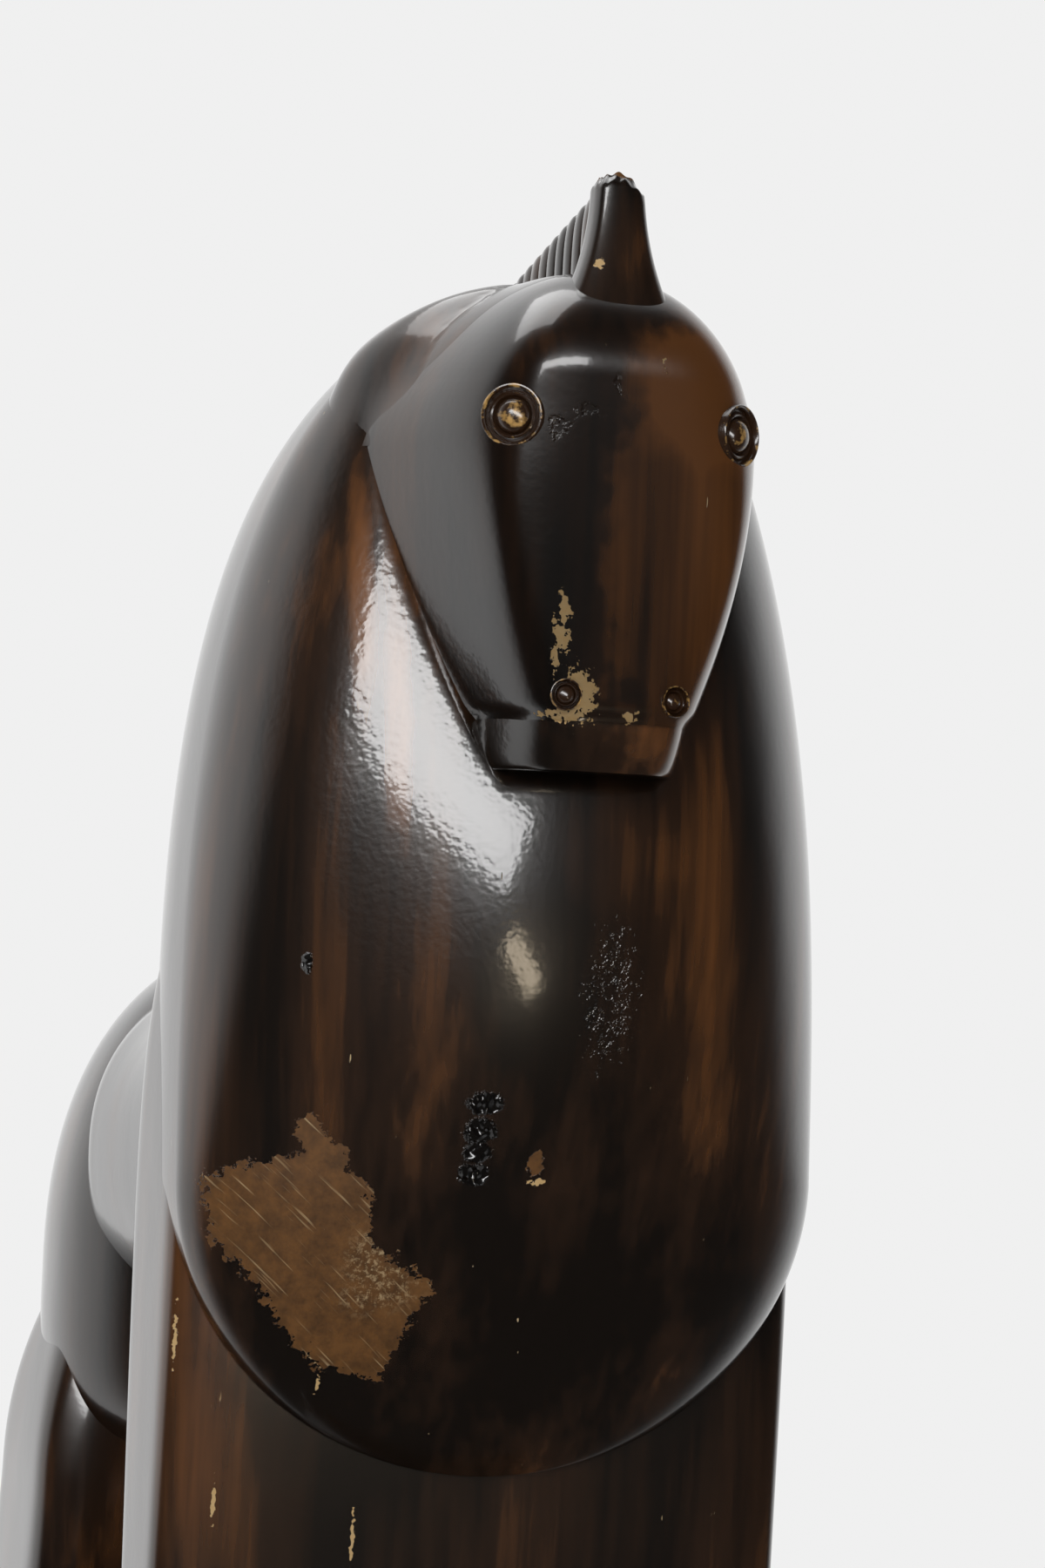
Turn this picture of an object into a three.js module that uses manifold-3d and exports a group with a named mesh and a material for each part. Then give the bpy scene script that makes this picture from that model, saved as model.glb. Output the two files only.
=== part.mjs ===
// Carved horse of lacquered wood, standing on a low plinth.
// Millimetres, +Z up. The horse faces -Y and is the same on both sides of X = 0.

import * as THREE from 'three';
import { ParametricGeometry } from 'three/addons/geometries/ParametricGeometry.js';
import { mergeVertices } from 'three/addons/utils/BufferGeometryUtils.js';
import Module from 'manifold-3d';

// Driving sizes in millimetres
const horseHeight = 398;      // soles of the hooves to the tip of the forelock
const plinthHeight = 22;
const plinthMargin = 7;       // bare plinth left round the horse
const plinthChamfer = 2.5;
const seatGap = 0.3;          // glue line between the hooves and the plinth

// Every size of the horse below is a share of its height, in hundredths.
// Forward is counted from the middle of the forelegs towards the muzzle.
const unit = horseHeight / 100;

// Neck and chest, one egg that ends below in a crisp edge over the forelegs
const chestLow = 35.4;        // lowest point of the egg's edge
const chestWide = 50.4;       // height where the egg is widest
const chestTop = 95.2;        // top of the neck's dome
const chestHalf = 16.95;      // half width at the widest
const chestFront = 13.4;      // furthest forward, just under the muzzle
const chestFrontHigh = 71;    // height of that point
const crestBack = 15;         // how far the neck reaches back from its middle
const crestLean = 8.2;        // how far the top of the dome leans forward
const domeFullness = 2.65;    // 2 would be an ellipse, more is squarer
const footFullness = 2;
const leanPower = 8;          // how late the lean sets in towards the top
const eggFrontFullness = 2.1; // squareness of a level ring ahead
const eggBackFullness = 2.9;  // and behind
const rimFoot = 1.1;          // how pointed the foot's front edge is
const rimWide = 2.05;

// Forelegs
const foreFront = 3;          // flat front of the forelegs
const foreBack = -6.8;
const foreHalf = 16.9;        // outer side of the legs from the middle
const foreTaper = 1.7;        // how much the shank draws in at the front and back
const foreHideFrom = 47.4;    // above this the legs fade into the egg
const foreTop = 69.4;
const hoofHigh = 6;
const hoofSpread = 1.1;
const hoofTopShare = 0.55;    // what is left of the spread at the top of the hoof
const legFullness = 9;        // crisp corners
const fadedFullness = 2.6;    // corners of the hidden top

// Hind legs
const hindFront = -27.5;
const hindBack = -40.5;
const hindHalf = 15.9;
const hockBack = 4.2;         // how far the hock stands out behind
const hockHigh = 17;
const hindHideFrom = 30.4;
const hindTop = 46.5;

// Gap between the left and the right legs
const gapTop = 26.5;
const gapHalfLow = 4.4;
const gapHalfHigh = 2.9;
const gapFullness = 9;

// Barrel and rump
const bellyHigh = 39.5;
const barrelHalf = 14.3;      // half width at the waist
const shoulderHalf = 16.4;    // and at the forelegs
const shoulderStart = 0.62;   // share of the barrel's length where it starts to widen
const shoulderEnd = 0.95;
const barrelFullness = 2.5;   // squareness across
const barrelTallFullness = 2.3;
const backHigh = 60.5;        // lowest point of the back
const withersHigh = 70;
const rumpHigh = 62.4;
const rumpWide = 42.5;        // height where the rump is widest
const rumpLow = 31.4;         // lowest point of the rump's edge
const rumpMiddle = -32.5;
const rumpLong = 13;          // half length of the rump
const rumpHalf = 14.9;
const rumpFullness = 2.3;
const haunchFullness = 4.2;   // squarer below, where the haunch ends over the leg
const haunchDrawIn = 0.25;

// Head
const headLow = 70.8;         // underside of the muzzle
const browHigh = 89.6;
const crownHigh = 95.4;
const crownStart = 86.5;      // height where the crown starts to close
const faceFront = 17.5;       // flat of the face
const jawHalf = 9.2;
const cheekTaperLow = 0.18;   // how much the cheeks close towards the front, at the chin
const cheekTaperHigh = 0.235; // and at the brow
const faceFullness = 5;       // flat face with firm edges
const crownFullness = 2.3;
const straightShare = 0.62;   // share of the head's rings that lie below the brow
const chinShare = 0.33;       // width of the chin as a share of the jaw
const jawLineLow = 13.4;      // where the jaw meets the neck, at the chin
const jawLineHigh = 8.9;      // and at the brow
const lipHigh = 2.3;
const lipRecess = 0.8;
const lipDraw = 1.1;          // how far the lip runs back towards its underside
const lipShare = 0.86;        // width of its underside as a share of the muzzle
const lipFullness = 4;

// Eyes and nostrils, a dome inside a cut ring
const eyeHigh = 87.4;
const eyeSide = 5.9;
const eyeRing = 1.62;
const nostrilHigh = 74.3;
const nostrilSide = 2.8;
const nostrilRing = 0.84;
const ringCut = 0.42;
const domeShare = 0.62;       // dome's size as a share of its ring
const domeRise = 0.3;

// Forelock and mane
const lockForward = 14.6;
const lockHalfTop = 1.25;
const lockHalfLow = 3.1;
const lockThick = 1.1;
const lockThickLow = 1.9;
const lockFlare = 2.2;        // how quickly the foot of the forelock spreads
const lockLean = 0.5;
const lockRoot = 2.5;         // hidden length below the crown
const maneStart = 13.9;
const maneHalf = 1.15;
const maneTall = 4.9;         // just behind the forelock
const maneTallBack = 3.4;     // behind the crown
const maneTallEnd = 0.6;      // at the withers
const maneLevel = 0.42;       // share of its length that runs level over the crown
const maneRoot = 2.5;         // hidden depth
const maneEdgeShare = 0.72;   // width of its top edge as a share of its root
const crestTurnTop = 1.155;   // where the egg's back takes over from the crown, in radians
const crestTurnEnd = 0.4;
const maneRidges = 34;
const ridgeDepth = 0.3;

// Tail
const tailHigh = 58.5;
const tailLow = 19;
const tailHalf = 2.7;
const tailThick = 2.1;
const tailRootShare = 0.62;   // how far back on the rump it is rooted
const tailEndShare = 0.5;     // width at its ends as a share of the middle

const { sin, cos, abs, sign, max, min, PI } = Math;
const quarterTurn = PI / 2;
const standHeight = plinthHeight + seatGap;
const tailBack = hindBack - hockBack - tailThick;
const plinthMiddle = (faceFront + tailBack) / 2;

// A share-of-height position turned into millimetres
function place(target, side, forward, high) {
  return target.set(side * unit, (plinthMiddle - forward) * unit, standHeight + high * unit);
}

// Signed power, which turns a circle into a squarer closed curve
function bend(value, fullness) {
  return sign(value) * abs(value) ** (2 / fullness);
}

// Smooth step from 0 to 1 between two values
function ease(value, start, end) {
  const share = min(1, max(0, (value - start) / (end - start)));
  return share * share * (3 - 2 * share);
}

function blend(from, to, share) {
  return from + (to - from) * share;
}

// Height of a soft bump that is 1 at its middle and 0 one width away
function bump(value, middle, width) {
  return ease(abs(value - middle), width, 0);
}

// Closed skin of a stack of rings. The function gives a point for an angle, a station from 0 to 1
// and a spread that is 0 at the middle of the closing caps and 1 on the rings.
function closedSkin(pointAt, around, along) {
  const rows = along + 2;
  const geometry = new ParametricGeometry((u, v, target) => {
    const row = Math.round(v * rows);
    const station = min(1, max(0, (row - 1) / along));
    const spread = row === 0 || row === rows ? 0 : 1;
    pointAt(target, (u % 1) * 2 * PI, station, spread);
  }, around, rows);
  return geometry;
}

// Triangle mesh without doubled corners or flat triangles
function weld(geometry) {
  geometry.deleteAttribute('normal');
  geometry.deleteAttribute('uv');
  const joined = mergeVertices(geometry, 1e-3);
  const corners = joined.index.array;
  const kept = [];
  for (let i = 0; i < corners.length; i += 3) {
    const [a, b, c] = [corners[i], corners[i + 1], corners[i + 2]];
    if (a !== b && b !== c && c !== a) kept.push(a, b, c);
  }
  joined.setIndex(kept);
  return joined;
}

// Neck and chest

// Sizes of one level ring of the egg, for a turn from -90 degrees (foot) to 90 degrees (top)
function eggRing(turn) {
  const upper = turn > 0;
  const fullness = upper ? domeFullness : footFullness;
  const reach = upper ? chestTop - chestWide : chestWide - chestLow;
  const high = chestWide + reach * bend(sin(turn), fullness);
  const width = abs(cos(turn)) ** (2 / fullness);
  const rise = max(0, (high - chestWide) / (chestTop - chestWide));
  const middle = foreFront * (1 - rise) ** 2 + crestLean * rise ** leanPower;
  const below = max(0, (chestFrontHigh - high) / (chestFrontHigh - chestLow));
  const bulge = (chestFront - foreFront) * (1 - below ** 2) + foreFront - middle;
  return {
    high,
    half: chestHalf * width,
    middle,
    front: upper ? bulge * width : bulge,
    back: upper ? crestBack * width : crestBack * width ** 2,
    rim: blend(rimFoot, rimWide, upper ? 1 : width),
  };
}

function chestForm() {
  const footRings = 9;
  const upperRings = 17;
  const crowding = 1.3;
  const foot = footRings / (footRings + upperRings);
  return closedSkin((target, angle, station, spread) => {
    const turn = station < foot
      ? -quarterTurn * (1 - station / foot)
      : quarterTurn * ((station - foot) / (1 - foot)) ** crowding;
    const ring = eggRing(turn);
    const ahead = sin(angle) < 0;
    const side = ring.half * bend(cos(angle), ahead ? eggFrontFullness : eggBackFullness) * spread;
    const forward = ahead
      ? -ring.front * bend(sin(angle), ring.rim)
      : -ring.back * bend(sin(angle), eggBackFullness);
    place(target, side, ring.middle + forward * spread, ring.high);
  }, 40, footRings + upperRings);
}

// Legs

// Straight block with crisp corners, from the soles up into the body, where it fades away
function legBlock({ half, hideFrom, top, hideShare, hidePower, frontAt, backAt, rings }) {
  return closedSkin((target, angle, station, spread) => {
    const high = top * station;
    const inHoof = high < hoofHigh;
    const flare = inHoof ? hoofSpread * (1 - (1 - hoofTopShare) * high / hoofHigh) : 0;
    const front = frontAt(high) + flare;
    const back = backAt(high) - flare;
    const hidden = max(0, (high - hideFrom) / (top - hideFrom));
    const hide = 1 - hideShare * hidden ** hidePower;
    const deep = hide * (front - back) / 2;
    const corner = blend(legFullness, fadedFullness, ease(hidden, 0, 1));
    const side = hide * (half + flare / 2) * bend(cos(angle), corner) * spread;
    const forward = (front + back) / 2 - deep * bend(sin(angle), corner) * spread;
    place(target, side, forward, high);
  }, 20, rings);
}

function forelegs() {
  const pasternHigh = hoofHigh * 1.5;
  const slim = (high) => foreTaper * ease(high, chestWide, pasternHigh);
  return legBlock({
    half: foreHalf,
    hideFrom: foreHideFrom,
    top: foreTop,
    hideShare: 0.2,
    hidePower: 4,
    frontAt: (high) => foreFront - slim(high),
    backAt: (high) => foreBack + slim(high),
    rings: 13,
  });
}

function hindLegs() {
  const shankShare = 0.5;
  const shankLow = hockHigh * 0.6;
  const hollowShare = 0.3;
  const hock = (high) => hockBack * bump(high, hockHigh, rumpLow - hockHigh);
  const shank = (high) => hockBack * shankShare * ease(high, rumpLow, shankLow);
  return legBlock({
    half: hindHalf,
    hideFrom: hindHideFrom,
    top: hindTop,
    hideShare: 0.3,
    hidePower: 2,
    frontAt: (high) => hindFront - shank(high) - hock(high) * hollowShare,
    backAt: (high) => hindBack - hock(high),
    rings: 14,
  });
}

// Tall arch that parts the left legs from the right legs
function legGap() {
  const reach = 2 * (faceFront - tailBack);
  const belowSoles = -1;
  const archShare = 0.97;
  const archPower = 5;
  return closedSkin((target, angle, station, spread) => {
    const shut = (1 - archShare * station ** archPower) ** 0.5;
    const half = blend(gapHalfLow, gapHalfHigh, station) * shut;
    const side = half * bend(cos(angle), gapFullness) * spread;
    const forward = plinthMiddle - reach * bend(sin(angle), gapFullness) * spread;
    place(target, side, forward, blend(belowSoles, gapTop, station ** 0.5));
  }, 12, 10);
}

// Barrel and rump

function barrelForm() {
  const start = rumpMiddle;
  const end = foreFront - 4;
  const dipPower = 1.2;
  const risePower = 1.6;
  const rootInset = 1.5;
  const bellyRise = 1.2;
  return closedSkin((target, angle, station, spread) => {
    const dip = sin(PI * station) ** dipPower;
    const hide = 1 - 0.1 * ease(station, 0.2, 0);
    const line = blend(rumpHigh - rootInset, withersHigh, station ** risePower);
    const top = line - (rumpHigh - backHigh) * dip;
    const low = bellyHigh - bellyRise * (1 - dip);
    const widening = ease(station, shoulderStart, shoulderEnd);
    const half = blend(barrelHalf, shoulderHalf, widening) * hide;
    const side = half * bend(cos(angle), barrelFullness) * spread;
    const tall = (top - low) / 2 * bend(sin(angle), barrelTallFullness) * spread;
    place(target, side, blend(start, end, station), (top + low) / 2 + tall);
  }, 28, 10);
}

function rumpForm() {
  return closedSkin((target, angle, station, spread) => {
    const turn = -quarterTurn + station * PI;
    const upper = turn > 0;
    const fullness = upper ? rumpFullness : haunchFullness;
    const reach = upper ? rumpHigh - rumpWide : rumpWide - rumpLow;
    const width = abs(cos(turn)) ** (2 / fullness);
    const long = rumpLong * width * (upper ? 1 : 1 - haunchDrawIn * sin(turn) ** 2);
    const side = rumpHalf * width * bend(cos(angle), rumpFullness) * spread;
    const forward = rumpMiddle - long * bend(sin(angle), rumpFullness) * spread;
    place(target, side, forward, rumpWide + reach * bend(sin(turn), fullness));
  }, 28, 16);
}

// Head

// Share of the jaw's full width at a share of the height from the chin to the brow
function jawShare(share) {
  const swellPower = 0.85;
  return chinShare + (1 - chinShare) * sin(quarterTurn * share ** swellPower);
}

// Sizes of one level ring of the head
function headRing(high) {
  const narrowPower = 1.8;
  const climb = min(1, max(0, (high - browHigh) / (crownHigh - browHigh)));
  const round = (1 - climb ** crownFullness) ** (1 / crownFullness);
  const close = min(1, max(0, (high - crownStart) / (crownHigh - crownStart)));
  const narrow = (1 - close ** narrowPower) ** (1 / narrowPower);
  const share = min(1, max(0, (high - headLow) / (browHigh - headLow)));
  const jaw = blend(jawLineLow, jawLineHigh, share);
  return {
    half: jawHalf * jawShare(share) * blend(0.12, 1, narrow),
    middle: jaw,
    front: (faceFront - jaw) * blend(0.3, 1, round),
    back: blend(4, 8, share),
    taper: blend(cheekTaperLow, cheekTaperHigh, share),
  };
}

function headForm() {
  const low = headLow + lipHigh;
  const edgeSoftness = 0.06;
  return closedSkin((target, angle, station, spread) => {
    const inCrown = (station - straightShare) / (1 - straightShare);
    const high = inCrown < 0
      ? blend(low, browHigh, station / straightShare)
      : blend(browHigh, crownHigh, sin(quarterTurn * inCrown));
    const ring = headRing(high);
    const soft = 1 - edgeSoftness * ease(high, low + 1, low);
    const deep = sin(angle) < 0 ? ring.front * soft : ring.back;
    const reach = bend(-sin(angle), faceFullness);
    const tapered = ring.half * soft * (1 - ring.taper * reach);
    const side = tapered * bend(cos(angle), faceFullness) * spread;
    place(target, side, ring.middle + deep * reach * spread, high);
  }, 36, 18);
}

// Lip and chin, set back under the edge of the face
function lipForm() {
  const top = headLow + lipHigh;
  const overlap = 0.5;
  const sideInset = 0.12;
  const muzzle = headRing(top);
  return closedSkin((target, angle, station, spread) => {
    const high = blend(headLow, top + overlap, station);
    const ring = headRing(high);
    const front = ring.front - lipRecess - lipDraw * (1 - station) ** 1.5;
    const deep = sin(angle) < 0 ? front : ring.back;
    const half = (muzzle.half - sideInset) * blend(lipShare, 1, station);
    const reach = bend(-sin(angle), lipFullness);
    const side = half * (1 - ring.taper * reach) * bend(cos(angle), lipFullness) * spread;
    place(target, side, ring.middle + deep * reach * spread, high);
  }, 28, 4);
}

// Point of the face at a height and a distance from the middle, with its outward slope sideways
function onFace(side, high) {
  const ring = headRing(high);
  const outline = (angle) => {
    const reach = sin(angle) ** (2 / faceFullness);
    const across = ring.half * (1 - ring.taper * reach) * cos(angle) ** (2 / faceFullness);
    return [across, ring.middle + ring.front * reach];
  };
  const halvings = 40;
  const step = 0.04;
  let [low, top] = [0, quarterTurn];
  for (let i = 0; i < halvings; i += 1) {
    const half = (low + top) / 2;
    if (outline(half)[0] > abs(side)) low = half;
    else top = half;
  }
  const [nearSide, nearForward] = outline(low - step);
  const [farSide, farForward] = outline(low + step);
  const slope = Math.atan2(farForward - nearForward, nearSide - farSide);
  return { forward: outline(low)[1], slope: slope * sign(side) };
}

// Ring or dome standing on the face: a turned profile, its axis along the outward slope
function turnedOnFace(profile, side, high) {
  const spot = onFace(side, high);
  const points = profile.map(([radius, out]) => new THREE.Vector2(radius * unit, out * unit));
  const segments = 18;
  const geometry = new THREE.LatheGeometry(points, segments);
  geometry.rotateX(PI);
  geometry.rotateZ(spot.slope);
  const origin = place(new THREE.Vector3(), side, spot.forward, high);
  geometry.translate(origin.x, origin.y, origin.z);
  return geometry;
}

function ringCutter(ring, side, high) {
  const inner = ring * domeShare;
  const deep = -ringCut;
  const clear = ringCut * 4;
  const profile = [[inner, deep], [ring, deep], [ring, clear], [inner, clear], [inner, deep]];
  return turnedOnFace(profile, side, high);
}

function domeOnFace(ring, side, high) {
  const radius = ring * domeShare;
  const root = -ringCut * 3;
  const profile = [[0, root], [radius, root]];
  const steps = 3;
  for (let i = 0; i <= steps; i += 1) {
    const turn = quarterTurn * i / steps;
    profile.push([radius * cos(turn), domeRise * sin(turn)]);
  }
  profile[profile.length - 1][0] = 0;
  return turnedOnFace(profile, side, high);
}

// Forelock and mane

function forelockForm() {
  const low = crownHigh - lockRoot;
  const edgeSoftness = 0.18;
  return closedSkin((target, angle, station, spread) => {
    const flare = (1 - station) ** lockFlare;
    const soft = 1 - edgeSoftness * ease(station, 0.94, 1);
    const side = blend(lockHalfTop, lockHalfLow, flare) * soft * bend(cos(angle), 3) * spread;
    const thick = blend(lockThick, lockThickLow, flare) * soft * bend(sin(angle), 3) * spread;
    place(target, side, lockForward - lockLean * station - thick, blend(low, 100, station));
  }, 16, 7);
}

// Line of the crest from behind the forelock to the withers, with the mane's height and its lean
function crestAt(share) {
  const along = max(0, (share - maneLevel) / (1 - maneLevel));
  const ahead = max(0, 1 - share / maneLevel);
  const ring = eggRing(blend(crestTurnTop, crestTurnEnd, along));
  const crestInset = 0.5;
  const behind = blend(maneTallBack, maneTallEnd, along ** 1.6);
  return {
    forward: blend(ring.middle - ring.back, maneStart, ahead),
    high: blend(ring.high, crownHigh - crestInset, ahead),
    tall: along > 0 ? behind : blend(maneTallBack, maneTall, ahead),
    lean: blend(0.04, 0.3, 1 - ahead) + 1.05 * ease(along, 0, 0.9),
  };
}

function maneForm() {
  const rowsPerRidge = 2;
  const fullness = 4;
  return closedSkin((target, angle, station, spread) => {
    const spot = crestAt(station);
    const row = Math.round(station * maneRidges * rowsPerRidge);
    const dip = row % rowsPerRidge === 0 ? ridgeDepth : 0;
    const whole = spot.tall - dip + maneRoot;
    const out = whole / 2 * (1 - bend(sin(angle), fullness) * spread) - maneRoot;
    const thin = blend(1, maneEdgeShare, (out + maneRoot) / whole);
    const side = (maneHalf - dip) * thin * bend(cos(angle), fullness) * spread;
    const forward = spot.forward - out * sin(spot.lean);
    place(target, side, forward, spot.high + out * cos(spot.lean));
  }, 8, maneRidges * rowsPerRidge);
}

// Tail, falling close along the rump

function tailForm() {
  const fullness = 2.6;
  const leave = rumpWide - 2;
  return closedSkin((target, angle, station, spread) => {
    const high = blend(tailLow, tailHigh, station);
    const root = rumpMiddle - tailRootShare * rumpLong;
    const line = blend(tailBack + tailThick, root, ease(high, leave, tailHigh));
    const narrow = blend(tailEndShare, 1, sin(PI * station) ** 0.5);
    const side = tailHalf * narrow * bend(cos(angle), fullness) * spread;
    const forward = line - tailThick * narrow * bend(sin(angle), fullness) * spread;
    place(target, side, forward, high);
  }, 14, 9);
}

// Plinth

function plinthForm() {
  const long = (faceFront - tailBack) * unit / 2 + plinthMargin;
  const wide = chestHalf * unit + plinthMargin;
  const shape = new THREE.Shape();
  shape.moveTo(-wide + plinthChamfer, -long + plinthChamfer);
  shape.lineTo(wide - plinthChamfer, -long + plinthChamfer);
  shape.lineTo(wide - plinthChamfer, long - plinthChamfer);
  shape.lineTo(-wide + plinthChamfer, long - plinthChamfer);
  shape.closePath();
  const geometry = new THREE.ExtrudeGeometry(shape, {
    depth: plinthHeight - 2 * plinthChamfer,
    bevelThickness: plinthChamfer,
    bevelSize: plinthChamfer,
    bevelSegments: 1,
  });
  geometry.translate(0, 0, plinthChamfer);
  return geometry;
}

// Joining

const wasm = await Module();
wasm.setup();

function solid(geometry) {
  const joined = weld(geometry);
  return new wasm.Manifold(new wasm.Mesh({
    numProp: 3,
    vertProperties: new Float32Array(joined.attributes.position.array),
    triVerts: new Uint32Array(joined.index.array),
  }));
}

function meshOf(body, name, material) {
  const data = body.getMesh();
  const geometry = new THREE.BufferGeometry();
  geometry.setAttribute('position', new THREE.BufferAttribute(data.vertProperties, 3));
  geometry.setIndex(new THREE.BufferAttribute(data.triVerts, 1));
  geometry.computeVertexNormals();
  const mesh = new THREE.Mesh(geometry, material);
  mesh.name = name;
  return mesh;
}

function horseBody() {
  const joined = [
    forelegs(), hindLegs(), barrelForm(), rumpForm(), headForm(), lipForm(),
    forelockForm(), maneForm(),
  ];
  let body = solid(chestForm());
  for (const form of joined) body = body.add(solid(form));
  body = body.subtract(solid(legGap())).add(solid(tailForm()));
  const marks = [[eyeRing, eyeSide, eyeHigh], [nostrilRing, nostrilSide, nostrilHigh]];
  for (const [ring, side, high] of marks) {
    for (const hand of [-1, 1]) {
      body = body.subtract(solid(ringCutter(ring, side * hand, high)));
      body = body.add(solid(domeOnFace(ring, side * hand, high)));
    }
  }
  return body;
}

function lacquer(color) {
  return new THREE.MeshStandardMaterial({ color, roughness: 0.25, metalness: 0 });
}

const group = new THREE.Group();
group.add(meshOf(horseBody(), 'horse', lacquer(0x2a1a10)));
group.add(meshOf(solid(plinthForm()), 'plinth', lacquer(0x17110d)));

export default group;
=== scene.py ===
"""A stylised horse carved in wood and lacquered dark brown, standing on a low plinth.

The horse faces -Y, +X is its left side and +Z is up. Its forms are given in hundredths of its
height: side from the middle plane, forward from the middle of the forelegs, high from the soles.
"""

from math import atan2, cos, pi, radians, sin

import bpy
import numpy as np
from mathutils import Matrix, Vector


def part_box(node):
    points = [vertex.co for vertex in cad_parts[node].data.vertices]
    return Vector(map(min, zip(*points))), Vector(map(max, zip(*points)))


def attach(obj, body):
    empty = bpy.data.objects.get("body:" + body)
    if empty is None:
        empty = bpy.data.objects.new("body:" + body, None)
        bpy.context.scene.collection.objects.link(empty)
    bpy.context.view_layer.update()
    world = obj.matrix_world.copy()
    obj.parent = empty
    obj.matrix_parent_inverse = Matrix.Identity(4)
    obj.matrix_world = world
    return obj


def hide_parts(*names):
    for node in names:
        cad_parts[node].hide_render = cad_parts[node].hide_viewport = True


bl_info = {
    "name": "Carved horse",
    "version": (1, 0, 0),
    "blender": (4, 5, 0),
    "location": "3D View > Sidebar > Carved horse",
    "description": "A lacquered wooden horse on a low plinth, with a stage for it",
    "category": "Object",
}

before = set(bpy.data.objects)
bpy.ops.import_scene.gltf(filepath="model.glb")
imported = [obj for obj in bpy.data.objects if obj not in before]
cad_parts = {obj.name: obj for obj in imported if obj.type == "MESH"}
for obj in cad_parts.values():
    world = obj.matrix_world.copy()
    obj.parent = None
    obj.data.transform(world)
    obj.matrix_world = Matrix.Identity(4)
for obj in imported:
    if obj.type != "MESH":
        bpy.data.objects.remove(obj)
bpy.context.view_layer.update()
HORSE_LOW, HORSE_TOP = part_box("horse")
PLINTH_LOW, PLINTH_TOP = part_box("plinth")

# One hundredth of the horse's height, in metres
UNIT = (HORSE_TOP.z - HORSE_LOW.z) / 100
MILLIMETRE = 0.001
QUARTER = pi / 2

# Neck and chest, one egg over the forelegs
CHEST_LOW = 35.4
CHEST_WIDEST = 50.4  # height of the widest level
CHEST_TOP = 95.2
CHEST_HALF = 16.95
CHEST_FRONT = 13.4
CHEST_FRONT_HIGH = 71
CREST_BACK = 15
CREST_LEAN = 8.2
DOME_FULLNESS = 2.65
EGG_FRONT_FULLNESS = 2.1
EGG_BACK_FULLNESS = 2.9
EGG_RIM_LOW = 1.1  # fullness of the front's depth at the foot of the egg
EGG_RIM_RISE = 0.95  # how much more it has from the widest level up

# Forelegs and hind legs
FORE_FRONT = 3
FORE_BACK = -6.8
FORE_HALF = 16.9
FORE_TAPER = 1.7
FORE_SLIM_LOW = 9
FORE_HIDE_FROM = 47.4
FORE_TOP = 69.4
HOOF_HIGH = 6
HOOF_SPREAD = 1.1
HOOF_TOP_SHARE = 0.55
HIND_FRONT = -27.5
HIND_BACK = -40.5
HIND_HALF = 15.9
HOCK_BACK = 4.2
HOCK_HIGH = 17
HOCK_FRONT_SHARE = 0.3
SHANK_BACK = 2.1
SHANK_LOW = 10.2
HIND_HIDE_FROM = 30.4
HIND_TOP = 46.5
LEG_FULLNESS = 9
FADED_FULLNESS = 2.6
GAP_LOW = -1
GAP_TOP = 26.5
GAP_HALF_LOW = 4.4
GAP_HALF_HIGH = 2.9
GAP_CLOSE = 0.97

# Barrel, rump and tail
BELLY_HIGH = 39.5
BELLY_SINK = 1.2  # how much lower the belly is at both ends of the barrel
BARREL_FRONT = -1
BARREL_HALF = 14.3
BARREL_FULLNESS = 2.5
BARREL_HIDE = 0.1  # how much narrower the barrel starts, inside the rump
SHOULDER_HALF = 16.4
SHOULDER_START = 0.62
SHOULDER_END = 0.95
BACK_HIGH = 60.5
WITHERS_HIGH = 70
LOIN_SINK = 1.5  # how far the barrel starts under the top of the rump
RUMP_HIGH = 62.4
RUMP_WIDEST = 42.5
RUMP_LOW = 31.4
RUMP_MIDDLE = -32.5
RUMP_LONG = 13
RUMP_HALF = 14.9
RUMP_FULLNESS = 2.3
HAUNCH_FULLNESS = 4.2
HAUNCH_DRAW_IN = 0.25
TAIL_HIGH = 58.5
TAIL_LOW = 19
TAIL_HALF = 2.7
TAIL_THICK = 2.1
TAIL_FULLNESS = 2.6
TAIL_NARROW = 0.5  # share of its width that the tail has at its ends
TAIL_ROOT_SHARE = 0.62
TAIL_BEND_LOW = 40.5
TAIL_BACK = HIND_BACK - HOCK_BACK - TAIL_THICK

# Head
HEAD_LOW = 70.8
BROW_HIGH = 89.6
CROWN_HIGH = 95.4
CROWN_START = 86.5
FACE_FRONT = 17.5
JAW_HALF = 9.2
JAW_SWELL = 0.85
JAW_BACK_LOW = 4
JAW_BACK_HIGH = 8
CHEEK_TAPER_LOW = 0.26
CHEEK_TAPER_HIGH = 0.24
FACE_FULLNESS = 5
FACE_CRISP = 4  # how much squarer the edges of the face are between eyes and nostrils
FACE_CRISP_SHARE = 0.55
FACE_CRISP_REACH = 0.4
FACE_EDGE_HIGH = 1.1
FACE_EDGE_DRAW = 0.05  # share by which the lower edge of the face is drawn in
CROWN_FULLNESS = 1.95
CROWN_CLOSE_FULLNESS = 1.8
CROWN_LEAST_HALF = 0.12
CROWN_LEAST_FRONT = 0.3
CHIN_SHARE = 0.4
JAW_LINE_LOW = 13.4
JAW_LINE_HIGH = 8.9
LIP_HIGH = 2.3
LIP_RECESS = 0.4
LIP_DRAW = 1.3
LIP_SHARE = 0.84
LIP_FULLNESS = 5
LIP_INSET = 0.12
LIP_OVERLAP = 0.5

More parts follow.
